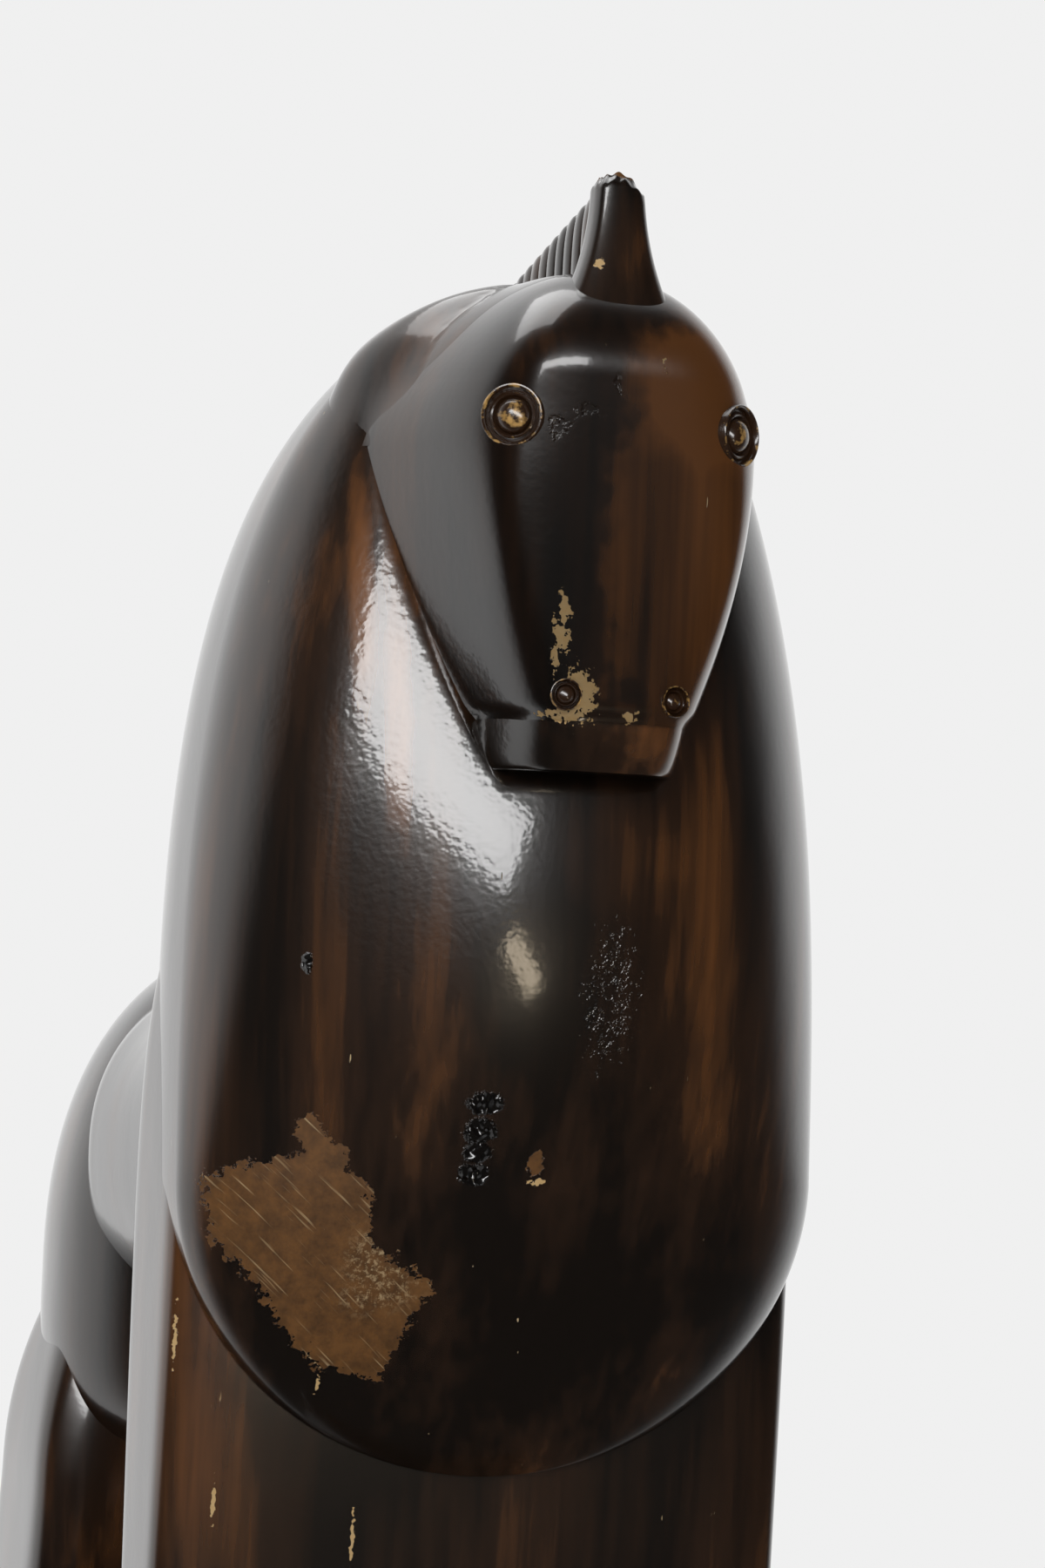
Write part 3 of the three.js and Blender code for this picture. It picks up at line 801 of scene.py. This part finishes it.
def plinth_form():
    """A rounded rectangle carried up the profile of a board with chamfered, worn edges."""
    low, top = np.array(PLINTH_LOW), np.array(PLINTH_TOP)
    half = (top - low)[:2] / 2
    chamfer = PLINTH_CHAMFER
    worn = sizes().plinth_round
    profile = (
        (chamfer, low[2]), (chamfer / 2, low[2] + chamfer / 2),
        (worn * 0.3, low[2] + chamfer - worn * 0.2), (0, low[2] + chamfer + worn),
        (0, top[2] - chamfer - worn), (worn * 0.3, top[2] - chamfer + worn * 0.2),
        (chamfer / 2, top[2] - chamfer / 2), (chamfer, top[2]),
    )
    per_corner = 9
    radius = worn * 2
    corner = np.linspace(0, QUARTER, per_corner)
    turns = np.concatenate([corner + QUARTER * k for k in range(4)])
    signs = np.array([[1, 1], [-1, 1], [-1, -1], [1, -1]]).repeat(per_corner, axis=0)
    arc = radius * np.stack([np.cos(turns), np.sin(turns)], axis=-1)
    rings = []
    for inset, level in profile:
        flat = signs * (half - inset - radius) + arc
        rings.append(np.column_stack([flat, np.full(len(flat), level)]))
    return np.array(rings)


# Materials

def add_node(tree, kind, inputs=None, output=0, **settings):
    """A node with its settings, and its sockets filled or linked; gives back one of its outputs."""
    node = tree.nodes.new("ShaderNode" + kind)
    for key, value in settings.items():
        setattr(node, key, value)
    for key, value in (inputs or {}).items():
        if isinstance(value, bpy.types.NodeSocket):
            tree.links.new(value, node.inputs[key])
        else:
            node.inputs[key].default_value = value
    return node.outputs[output] if node.outputs else node


def new_material(name):
    """An empty material and its node tree."""
    material = bpy.data.materials.new(name)
    material.use_nodes = True
    material.node_tree.nodes.clear()
    return material, material.node_tree


def tone(name, share=1.0):
    """One of the user's colours, darkened to a share of itself."""
    return (*(part * share for part in getattr(colours(), name)), 1)


def cloud(tree, at, millimetres, detail=2.0, roughness=0.5):
    """Cloudy pattern from 0 to 1 whose patches measure so many millimetres along X, Y and Z."""
    per_metre = tuple(1 / (size * MILLIMETRE) for size in millimetres)
    spread = add_node(tree, "VectorMath", {0: at, 1: per_metre}, operation="MULTIPLY")
    return add_node(tree, "TexNoise", {
        "Vector": spread, "Scale": 1.0, "Detail": detail, "Roughness": roughness}, output="Fac")


def blotch(tree, at, wander, centre, size, ragged=0.35, soft=0.12):
    """A spot that is 1 inside, at a place and of half sizes in hundredths of the height.

    Its edge is where the distance in half sizes plus a cloud times its raggedness passes 1.
    """
    middle = tuple(place(*centre))
    half = tuple(part * UNIT for part in size)
    apart = add_node(tree, "VectorMath", {0: at, 1: middle}, operation="SUBTRACT")
    scaled = add_node(tree, "VectorMath", {0: apart, 1: half}, operation="DIVIDE")
    far = add_node(tree, "VectorMath", {0: scaled}, output="Value", operation="LENGTH")
    edge = add_node(tree, "Math", {0: wander, 1: ragged * 2, 2: far}, operation="MULTIPLY_ADD")
    return add_node(tree, "MapRange", {
        "Value": edge, "From Min": 1 + ragged + soft, "From Max": 1 + ragged - soft,
    }, interpolation_type="SMOOTHSTEP")


def most(tree, masks):
    """The largest of several masks."""
    result = masks[0]
    for mask in masks[1:]:
        result = add_node(tree, "Math", {0: result, 1: mask}, operation="MAXIMUM")
    return result


def blotches(tree, at, wander, places, ragged, soft=0.12):
    """Spots of one kind at several places, as one mask."""
    return most(tree, [blotch(tree, at, wander, spot, half, ragged, soft) for spot, half in places])


# Places where the lacquer is thin, some of them also brightened as painted light: side, forward, high,
# their half sizes, softness and strength
THIN_PLACES_AND_PAINTED_LIGHT = (
    # Right half of the face: thin amber lacquer, made stronger to stand for the window light that the
    # head is kept from: painted light
    ((3.7, 17.0, 81.0), (4.9, 6, 10.5), 0.2, 0.27),
    # Right of the forehead: thin amber lacquer, made stronger to stand for its sheen and the missing
    # window light: painted light and painted reflection
    ((3.9, 15.5, 89.4), (3.6, 5, 2.6), 0.8, 0.8),
    ((-6.9, 11.8, 61.0), (1.5, 8, 9.5), 0.7, 0.20),
    ((-10.4, 8.0, 79.5), (0.5, 8, 5.5), 0.6, 0.34),
    ((-8.9, 9.0, 72.5), (0.6, 8, 5.0), 0.6, 0.40),
    # Below the muzzle: thin amber lacquer that is partly a painted reflection of the muzzle
    ((1.6, 13.0, 67.0), (3.4, 8, 2.6), 0.6, 0.15),
    ((8.0, 10.5, 65.0), (2.2, 8, 9.5), 0.7, 0.06),
    ((0.3, 14.5, 96.5), (0.9, 3, 2.2), 0.5, 0.16),
)
# Places where the lacquer is thick, and one of painted shade: side, forward, high, their half sizes,
# softness and strength
THICK_PLACES_AND_PAINTED_SHADE = (
    # Lower chest, which faces down: darkened as painted shade
    ((0, 12, 43.0), (15, 14, 8.0), 0.6, -0.16),
    ((-2.6, 17.0, 83.0), (1.5, 6, 9.0), 0.35, -0.06),
)

# Chips to the ochre ground, and paler flakes: side, forward, high, then half sizes
GROUND_CHIPS = (
    ((-0.75, 10.3, 51.7), (0.4, 4, 0.62)),
    ((-0.1, 14.1, 100.0), (1.35, 1.3, 0.40)),
)
PALE_FLAKES = (
    ((-3.1, 17.4, 78.4), (0.26, 2, 0.65)),
    ((-3.2, 17.4, 77.1), (0.34, 2, 0.8)),
    ((-3.4, 17.4, 76.0), (0.18, 2, 0.6)),
    ((-2.2, 17.4, 75.0), (0.5, 2, 0.6)),
    ((-1.85, 17.4, 74.2), (0.42, 2, 0.9)),
    ((-2.5, 17.4, 73.35), (0.9, 2, 0.3)),
    ((0.47, 17.3, 73.5), (0.26, 2, 0.26)),
    ((-1.3, 15.6, 95.3), (0.2, 2, 0.22)),
    ((-0.6, 10.1, 50.8), (0.32, 4, 0.2)),
    ((1.5, 15.6, 90.2), (0.12, 2, 0.4)),
    ((-14.1, 2, 34.0), (0.09, 4, 0.8)),
    ((-6.8, 2, 32.3), (0.09, 4, 1.1)),
    ((-16.4, 2, 42.0), (0.08, 4, 1.3)),
    ((-9.7, 2.5, 40.3), (0.08, 4, 0.5)),
)
BURNS = (
    ((-3.7, 10.5, 54.6), (0.85, 4, 0.55)),
    ((-3.8, 10.5, 53.3), (0.8, 4, 0.65)),
    ((-3.8, 10.5, 52.2), (0.7, 4, 0.5)),
    ((-3.85, 10.5, 51.1), (0.8, 4, 0.55)),
    ((-12.5, 9.0, 61.1), (0.22, 4, 0.45)),
)
DENTS = (
    ((-3.8, 17.4, 87.0), (0.35, 2, 0.4)),
    ((-2.3, 17.4, 87.9), (0.4, 2, 0.25)),
    ((-0.9, 17.4, 89.3), (0.14, 2, 0.3)),
    ((2.05, 12.2, 60.0), (0.8, 4, 1.9)),
)
RIPPLE_PLACE = ((-8.0, 11.0, 74.0), (6.0, 9, 13))
RUB_PLACE = ((-7.6, 8.0, 46.3), (1.7, 4, 2.0))

# Where the cloud of the film turns from dark to brown, and from brown to amber
GRAIN_SHARE = 0.34
BROWN_FROM, BROWN_TO = 0.52, 0.78
AMBER_FROM, AMBER_TO = 0.74, 1.14

# Heights on the lacquer in millimetres
WAVE_HIGH = 0.12
FILM_DEEP = 0.15
NICK_DEEP = 0.08
DENT_DEEP = 0.14
BUBBLE_HIGH = 0.9


def bare_ground(tree, at, wander):
    """Ochre ground under the lacquer, mottled, with slanting pale scratches and a rubbed place."""
    patches = cloud(tree, at, (4, 4, 4), detail=3, roughness=0.75)
    mottle = add_node(tree, "MapRange", {"Value": patches, "From Min": 0.36, "From Max": 0.66})
    ground = add_node(tree, "Mix", {
        0: mottle, 6: tone("ground"), 7: tone("ground", 0.55)}, output=2, data_type="RGBA")
    slant = add_node(tree, "Mapping", {"Vector": at, "Rotation": (0, SCRATCH_SLANT, 0)})
    lines = cloud(tree, slant, (0.7, 14, 14))
    scratches = add_node(
        tree, "MapRange", {"Value": lines, "From Min": 0.63, "From Max": 0.76, "To Max": 0.5})
    rubbed = blotch(tree, at, wander, *RUB_PLACE, ragged=0.8, soft=0.6)
    grit = cloud(tree, at, (1.4, 1.4, 1.4), detail=3, roughness=0.8)
    specks = add_node(
        tree, "MapRange", {"Value": grit, "From Min": 0.5, "From Max": 0.66, "To Max": 0.55})
    rubbed_specks = add_node(tree, "Math", {0: rubbed, 1: specks}, operation="MULTIPLY")
    pale = most(tree, [scratches, rubbed_specks])
    return add_node(
        tree, "Mix", {0: pale, 6: ground, 7: tone("scratch")}, output=2, data_type="RGBA")


def film_masks_with_painted_light_and_shade(tree, at, wander):
    """Where the film is brown and where it is amber.

    Upright streaks about 20 mm wide with grain about 3 mm wide, and thin and thick places, some of
    them painted light and painted shade.
    """
    broad = cloud(tree, at, (20, 20, 130), detail=2)
    grain = cloud(tree, at, (2.6, 2.6, 60), detail=2, roughness=0.6)
    film = add_node(tree, "Math", {0: grain, 1: GRAIN_SHARE, 2: broad}, operation="MULTIPLY_ADD")
    # Thin and thick places, some of them painted light and painted shade, shift the film's share
    for centre, half, soft, strength in THIN_PLACES_AND_PAINTED_LIGHT + THICK_PLACES_AND_PAINTED_SHADE:
        spot = blotch(tree, at, wander, centre, half, soft=soft)
        film = add_node(tree, "Math", {0: spot, 1: strength, 2: film}, operation="MULTIPLY_ADD")
    brown = add_node(tree, "MapRange", {"Value": film, "From Min": BROWN_FROM, "From Max": BROWN_TO})
    amber = add_node(tree, "MapRange", {"Value": film, "From Min": AMBER_FROM, "From Max": AMBER_TO})
    return brown, amber


def chipped_patch(tree, at):
    """The large chipped patch, its outline from the mesh and its ragged edge from a cloud."""
    share = add_node(tree, "Attribute", {}, output="Fac", attribute_name="patch")
    teeth = cloud(tree, at, (4.5, 4.5, 3.5), detail=4, roughness=0.75)
    swing = PATCH_RAGGED / PATCH_REACH
    ragged = add_node(tree, "Math", {0: teeth, 1: swing, 2: share}, operation="MULTIPLY_ADD")
    edge = 0.5 + swing / 2
    return add_node(
        tree, "MapRange", {"Value": ragged, "From Min": edge - 0.004, "From Max": edge + 0.004})


def fine_nicks(tree, at):
    """Fine nicks, about 1 mm wide and 8 mm long, in a few places."""
    lines = cloud(tree, at, (1.1, 1.1, 8))
    spread = cloud(tree, at, (24, 24, 24))
    nicked = add_node(tree, "MapRange", {"Value": lines, "From Min": 0.76, "From Max": 0.79})
    near = add_node(tree, "MapRange", {"Value": spread, "From Min": 0.54, "From Max": 0.64})
    return add_node(tree, "Math", {0: nicked, 1: near}, operation="MULTIPLY")


def lacquer_height(tree, at, slow, quick, lost, nick, burnt):
    """Height in millimetres: brushed ripple, slow waves, film edges, nicks, dents and bubbles."""
    ripple = sizes().ripple / MILLIMETRE
    peel = cloud(tree, at, (1.5, 1.5, 1.5), detail=1)
    peel_spot = blotch(tree, at, slow, *RIPPLE_PLACE, ragged=0.3, soft=0.6)
    peel_high = add_node(tree, "MapRange", {
        "Value": peel_spot, "To Min": ripple * 0.4, "To Max": ripple * 1.5})
    waves = cloud(tree, at, (15, 15, 26), detail=1)
    dented = blotches(tree, at, quick, DENTS, ragged=2.6, soft=0.4)
    bubbles = cloud(tree, at, (2, 2, 2), detail=0)
    dome = add_node(tree, "MapRange", {
        "Value": bubbles, "From Min": 0.35, "From Max": 0.65, "To Max": BUBBLE_HIGH})
    height = add_node(tree, "Math", {0: peel, 1: peel_high}, operation="MULTIPLY")
    for layer, high in (
        (waves, WAVE_HIGH), (lost, -FILM_DEEP), (nick, -NICK_DEEP), (dented, -DENT_DEEP),
        (burnt, dome),
    ):
        height = add_node(tree, "Math", {0: layer, 1: high, 2: height}, operation="MULTIPLY_ADD")
    return height


def lacquered_wood():
    """Brushed natural lacquer on carved wood, chipped and rubbed.

    The eye gets a nearly black gloss with amber where the film is thin, over upright grain, with
    painted light and painted shade in a few places.
    """
    if "brushed_lacquer" in bpy.data.materials:
        return bpy.data.materials["brushed_lacquer"]
    material, tree = new_material("brushed_lacquer")
    at = add_node(tree, "TexCoord", output="Object")

    # Clouds that carry the edges of large and small spots about
    slow = cloud(tree, at, (9, 9, 9), detail=2, roughness=0.6)
    quick = cloud(tree, at, (1.5, 1.5, 1.5), detail=2, roughness=0.7)

    brown, amber = film_masks_with_painted_light_and_shade(tree, at, slow)
    chips = blotches(tree, at, quick, GROUND_CHIPS, ragged=1.0, soft=0.08)
    bare = most(tree, [chipped_patch(tree, at), chips])
    flakes = blotches(tree, at, quick, PALE_FLAKES, ragged=2.4, soft=0.1)
    flake_tone = add_node(
        tree, "Mix", {0: quick, 6: tone("gold"), 7: tone("scratch")}, output=2, data_type="RGBA")
    lost = most(tree, [bare, flakes])
    burnt = blotches(tree, at, quick, BURNS, ragged=0.5)
    nick = fine_nicks(tree, at)

    # Colours laid over each other, from thick lacquer to the marks on it; the brown and amber shares
    # also carry painted light and painted shade
    base = tone("dark")
    for mask, colour in (
        (brown, tone("brown")), (amber, tone("amber")), (bare, bare_ground(tree, at, slow)),
        (flakes, flake_tone), (burnt, tone("dark", 0.35)), (nick, tone("scratch")),
    ):
        base = add_node(tree, "Mix", {0: mask, 6: base, 7: colour}, output=2, data_type="RGBA")

    height = lacquer_height(tree, at, slow, quick, lost, nick, burnt)
    bumped = add_node(tree, "Bump", {"Height": height, "Distance": MILLIMETRE})
    shader = add_node(tree, "BsdfPrincipled", {
        "Base Color": base,
        "Roughness": add_node(tree, "MapRange", {"Value": lost, "To Min": 0.26, "To Max": 0.5}),
        "IOR": 1.5,
        "Coat Weight": add_node(tree, "Math", {0: 1.0, 1: lost}, operation="SUBTRACT"),
        "Coat Roughness": 0.09,
        "Coat IOR": 1.5,
        "Normal": bumped,
        "Coat Normal": bumped,
    })
    add_node(tree, "OutputMaterial", {"Surface": shader})
    return material


def rubbed_lacquer():
    """The same lacquer on the eyes and nostrils, rubbed to a golden tone on high edges."""
    material, tree = new_material("rubbed_lacquer")
    at = add_node(tree, "TexCoord", output="Object")
    proud = add_node(tree, "Attribute", {}, output="Fac", attribute_name="proud")
    fleck = cloud(tree, at, (2.6, 2.6, 2.6), detail=3, roughness=0.7)
    near_eye = blotch(tree, at, fleck, (-EYE_SIDE, FACE_FRONT, EYE_HIGH), (3, 6, 3))
    touched = add_node(tree, "Math", {0: near_eye, 1: 0.03, 2: fleck}, operation="MULTIPLY_ADD")
    raised = add_node(tree, "Math", {0: proud, 1: 0.4, 2: touched}, operation="MULTIPLY_ADD")
    worn = add_node(tree, "MapRange", {"Value": raised, "From Min": 0.88, "From Max": 1.04})
    base = add_node(
        tree, "Mix", {0: worn, 6: tone("brown"), 7: tone("gold")}, output=2, data_type="RGBA")
    bumped = add_node(tree, "Bump", {"Height": fleck, "Distance": 0.12 * MILLIMETRE})
    shader = add_node(tree, "BsdfPrincipled", {
        "Base Color": base,
        "Roughness": add_node(tree, "MapRange", {"Value": worn, "To Min": 0.24, "To Max": 0.4}),
        "IOR": 1.5,
        "Coat Weight": 0.8,
        "Coat Roughness": 0.12,
        "Normal": bumped,
    })
    add_node(tree, "OutputMaterial", {"Surface": shader})
    return material


def studio_floor():
    """Matt painted board, which gives a plain pale ground with a faint mottle."""
    material, tree = new_material("painted_board")
    at = add_node(tree, "TexCoord", output="Object")
    mottle = cloud(tree, at, (160, 160, 160))
    paint = add_node(
        tree, "Mix", {0: mottle, 6: tone("floor"), 7: tone("floor", 0.97)}, output=2, data_type="RGBA")
    shader = add_node(tree, "BsdfPrincipled", {"Base Color": paint, "Roughness": 0.6})
    add_node(tree, "OutputMaterial", {"Surface": shader})
    return material


# Operators, one for each group of pieces

class HORSE_OT_chest(bpy.types.Operator):
    """Adds the neck and chest, one egg-shaped form"""
    bl_idname = "horse.add_chest"
    bl_label = "Neck and chest"

    def execute(self, context):
        side, forward, high = chest_form()
        mesh = new_mesh("neck_and_chest", closed_skin(place(side, forward, high)))
        inside = patch_distance(side, high)
        ahead = forward > FORE_FRONT - 1
        share = np.where(ahead, np.clip(0.5 + inside / PATCH_REACH, 0, 1), 0)
        keep_attribute(mesh, "patch", share)
        add_carved("neck_and_chest", mesh)
        return {"FINISHED"}


class HORSE_OT_head(bpy.types.Operator):
    """Adds the head with its crown, and the recessed lip and chin"""
    bl_idname = "horse.add_head"
    bl_label = "Head"

    def execute(self, context):
        block = new_mesh("head", closed_skin(head_form()))
        holes = []
        for ring, side, high in ring_places():
            hole = [(ring * HOLE_SHARE, HOLE_LOW), (ring * HOLE_SHARE, HOLE_HIGH)]
            holes += [closed_skin(turned_form(hole, side * hand, high, 96)) for hand in (-1, 1)]
        add_carved("head", cut_away(block, new_mesh("holes", joined(holes)), "head"))
        add_forms({"lip": lip_form, "crown_fillet": crown_fillet_form})
        return {"FINISHED"}


def ring_places():
    """Ring radius, side and height of an eye and a nostril."""
    return ((EYE_RING, EYE_SIDE, EYE_HIGH), (NOSTRIL_RING, NOSTRIL_SIDE, NOSTRIL_HIGH))


def joined(skins):
    """Several skins as one set of points and faces."""
    points, faces, start = [], [], 0
    for skin_points, skin_faces in skins:
        points.append(skin_points)
        faces += [[corner + start for corner in face] for face in skin_faces]
        start += len(skin_points)
    return np.concatenate(points), faces


class HORSE_OT_eyes(bpy.types.Operator):
    """Adds the eyes and nostrils, a dome inside cut rings"""
    bl_idname = "horse.add_eyes"
    bl_label = "Eyes and nostrils"

    def execute(self, context):
        finish = rubbed_lacquer()
        for name, (ring, side, high) in zip(("eyes", "nostrils"), ring_places()):
            profile = ring_profile(ring)
            skins = [closed_skin(turned_form(profile, side * hand, high)) for hand in (-1, 1)]
            mesh = new_mesh(name, joined(skins))
            out = np.array([step[1] for step in profile])
            proud = np.clip((out - GROOVE_LOW) / PROUD_SPAN, 0, 1).repeat(RING_AROUND)
            one = np.concatenate([proud, [0, 1]])
            keep_attribute(mesh, "proud", np.concatenate([one, one]))
            add_piece(name, mesh, "horse", finish)
        return {"FINISHED"}


class HORSE_OT_mane(bpy.types.Operator):
    """Adds the forelock and the ridged mane along the crest"""
    bl_idname = "horse.add_mane"
    bl_label = "Forelock and mane"

    def execute(self, context):
        add_forms({"forelock": forelock_form, "mane": mane_form})
        return {"FINISHED"}


class HORSE_OT_body(bpy.types.Operator):
    """Adds the barrel, the rump and the tail"""
    bl_idname = "horse.add_body"
    bl_label = "Barrel, rump and tail"

    def execute(self, context):
        add_forms({"barrel": barrel_form, "rump": rump_form, "tail": tail_form})
        return {"FINISHED"}


class HORSE_OT_legs(bpy.types.Operator):
    """Adds the forelegs and the hind legs, parted by a tall arch"""
    bl_idname = "horse.add_legs"
    bl_label = "Legs"

    def execute(self, context):
        for name, form in (("forelegs", forelegs_form), ("hind_legs", hind_legs_form)):
            block = new_mesh(name, closed_skin(form()))
            gap = new_mesh("gap", closed_skin(gap_form()))
            add_carved(name, cut_away(block, gap, name))
        return {"FINISHED"}


class HORSE_OT_plinth(bpy.types.Operator):
    """Adds the low plinth that the horse stands on"""
    bl_idname = "horse.add_plinth"
    bl_label = "Plinth"

    def execute(self, context):
        mesh = new_mesh("plinth_board", closed_skin(plinth_form()))
        add_piece("plinth_board", mesh, "plinth", lacquered_wood())
        return {"FINISHED"}


# Stage

def camera_matrix():
    """Right, up and backward axes of the photograph's camera, rolled about its line of sight."""
    azimuth, pitch, roll = CAMERA_AZIMUTH, CAMERA_PITCH, CAMERA_ROLL
    sight = Vector((sin(azimuth) * cos(pitch), cos(azimuth) * cos(pitch), sin(pitch)))
    right = Vector((cos(azimuth), -sin(azimuth), 0))
    up = right.cross(sight)
    rolled_right = right * cos(roll) + up * sin(roll)
    rolled_up = up * cos(roll) - right * sin(roll)
    axes = Matrix((rolled_right, rolled_up, -sight)).transposed().to_4x4()
    return Matrix.Translation(CAMERA_PLACE) @ axes


def add_camera():
    """The photograph's camera, its lens from the focus in pixels over the picture's height."""
    data = bpy.data.cameras.new("camera")
    data.sensor_fit = "VERTICAL"
    data.sensor_height = SENSOR_HIGH
    data.sensor_width = SENSOR_HIGH
    data.lens = PHOTO_FOCUS / PHOTO_HIGH * SENSOR_HIGH
    data.clip_start = CAMERA_NEAR
    camera = bpy.data.objects.new("camera", data)
    camera.matrix_world = camera_matrix()
    bpy.context.scene.collection.objects.link(camera)
    bpy.context.scene.camera = camera


def add_softbox(
        name, azimuth, elevation, size, power, turn=0.0, distance=LIGHT_DISTANCE, tint=(1, 1, 1)):
    """Oblong light at an azimuth from +Y towards +X and an elevation, seen from the throat."""
    azimuth, elevation = radians(azimuth), radians(elevation)
    level = cos(elevation)
    away = Vector((sin(azimuth) * level, cos(azimuth) * level, sin(elevation)))
    data = bpy.data.lights.new(name, "AREA")
    data.shape = "RECTANGLE"
    data.size, data.size_y = size
    data.energy = power
    data.color = tint
    light = bpy.data.objects.new(name, data)
    aim = away.to_track_quat("Z", "Y").to_matrix().to_4x4()
    roll = Matrix.Rotation(radians(turn), 4, "Z")
    light.matrix_world = Matrix.Translation(THROAT + away * distance) @ aim @ roll
    light.visible_camera = False
    bpy.context.scene.collection.objects.link(light)
    return light


def add_world():
    """Pale walls behind and beside the horse, a dim room ahead of it, and a pale background."""
    world = bpy.data.worlds.new("studio")
    bpy.context.scene.world = world
    world.use_nodes = True
    tree = world.node_tree
    tree.nodes.clear()
    way = add_node(tree, "TexCoord", output="Generated")
    back_share = add_node(tree, "SeparateXYZ", {0: way}, output="Y")
    lit = add_node(tree, "MapRange", {
        "Value": back_share, "From Min": WALL_FROM, "From Max": WALL_TO, "To Min": ROOM_LIGHT,
        "To Max": WALL_LIGHT,
    }, interpolation_type="SMOOTHSTEP")
    seen = add_node(tree, "LightPath", output="Is Camera Ray")
    strength = add_node(tree, "Mix", {0: seen, 2: lit, 3: BACKGROUND_LIGHT}, data_type="FLOAT")
    back = add_node(tree, "Background", {"Color": (1, 1, 1, 1), "Strength": strength})
    add_node(tree, "OutputWorld", {"Surface": back})


def add_floor():
    """A round board just under the plinth, its top and its underside as rings."""
    angle = circle(96)
    radius = np.linspace(0.01, 1, 12)[:, None] * sizes().floor_radius
    level = PLINTH_LOW.z - 0.2 * MILLIMETRE
    across, along = radius * np.cos(angle), radius * np.sin(angle)
    disc = np.stack(np.broadcast_arrays(across, along, level), axis=-1)
    under = disc[::-1] + (0, 0, -4 * MILLIMETRE)
    mesh = new_mesh("floor", closed_skin(np.concatenate([disc, under])))
    mesh.shade_flat()
    mesh.materials.append(studio_floor())
    floor = bpy.data.objects.new("floor", mesh)
    bpy.context.scene.collection.objects.link(floor)
    floor.visible_glossy = False


def add_lights():
    """A long window behind the camera, a small warm lamp, a light from above and one for the brow.

    The window would lay a pale streak down the flat face, so it leaves the head out, and the brow
    light reaches the head alone.
    """
    shaded = bpy.data.collections.new("shaded_from_window")
    shaded.objects.link(bpy.data.objects["head"])
    window = add_softbox("window", -158, 14, (2.0, 0.38), power=23, turn=-24)
    window.light_linking.receiver_collection = shaded
    shaded.collection_objects[0].light_linking.link_state = "EXCLUDE"
    brow_lit = bpy.data.collections.new("lit_by_brow_light")
    brow_lit.objects.link(bpy.data.objects["head"])
    brow_light = add_softbox("brow_light", -179, 26, (1.05, 0.24), power=6.5)
    brow_light.light_linking.receiver_collection = brow_lit
    add_softbox("lamp", 169, -17, (0.11, 0.035), power=0.1, turn=-45, distance=0.6, tint=WARM)
    add_softbox("top", -40, 75, (1.2, 1.2), power=11)


class HORSE_OT_stage(bpy.types.Operator):
    """Adds the floor, the soft lights, the pale surround and the photograph's camera"""
    bl_idname = "horse.add_stage"
    bl_label = "Stage"

    def execute(self, context):
        add_floor()
        add_world()
        add_camera()
        add_lights()
        context.scene.view_settings.view_transform = "Standard"
        return {"FINISHED"}


class HORSE_PT_panel(bpy.types.Panel):
    bl_label = "Carved horse"
    bl_idname = "HORSE_PT_panel"
    bl_space_type = "VIEW_3D"
    bl_region_type = "UI"
    bl_category = "Carved horse"

    def draw(self, context):
        for group in (context.scene.horse_sizes, context.scene.horse_colours):
            for key in group.__annotations__:
                self.layout.prop(group, key)
        for step in STEPS:
            self.layout.operator(step.bl_idname)


STEPS = (
    HORSE_OT_chest, HORSE_OT_head, HORSE_OT_eyes, HORSE_OT_mane, HORSE_OT_body, HORSE_OT_legs,
    HORSE_OT_plinth, HORSE_OT_stage,
)
CLASSES = (HorseSizes, HorseColours, *STEPS, HORSE_PT_panel)


def register():
    for part in CLASSES:
        bpy.utils.register_class(part)
    bpy.types.Scene.horse_sizes = bpy.props.PointerProperty(type=HorseSizes)
    bpy.types.Scene.horse_colours = bpy.props.PointerProperty(type=HorseColours)


def unregister():
    del bpy.types.Scene.horse_colours
    del bpy.types.Scene.horse_sizes
    for part in reversed(CLASSES):
        bpy.utils.unregister_class(part)


def main():
    register()
    for step in STEPS:
        group, name = step.bl_idname.split(".")
        getattr(getattr(bpy.ops, group), name)()


if __name__ == "__main__":
    main()
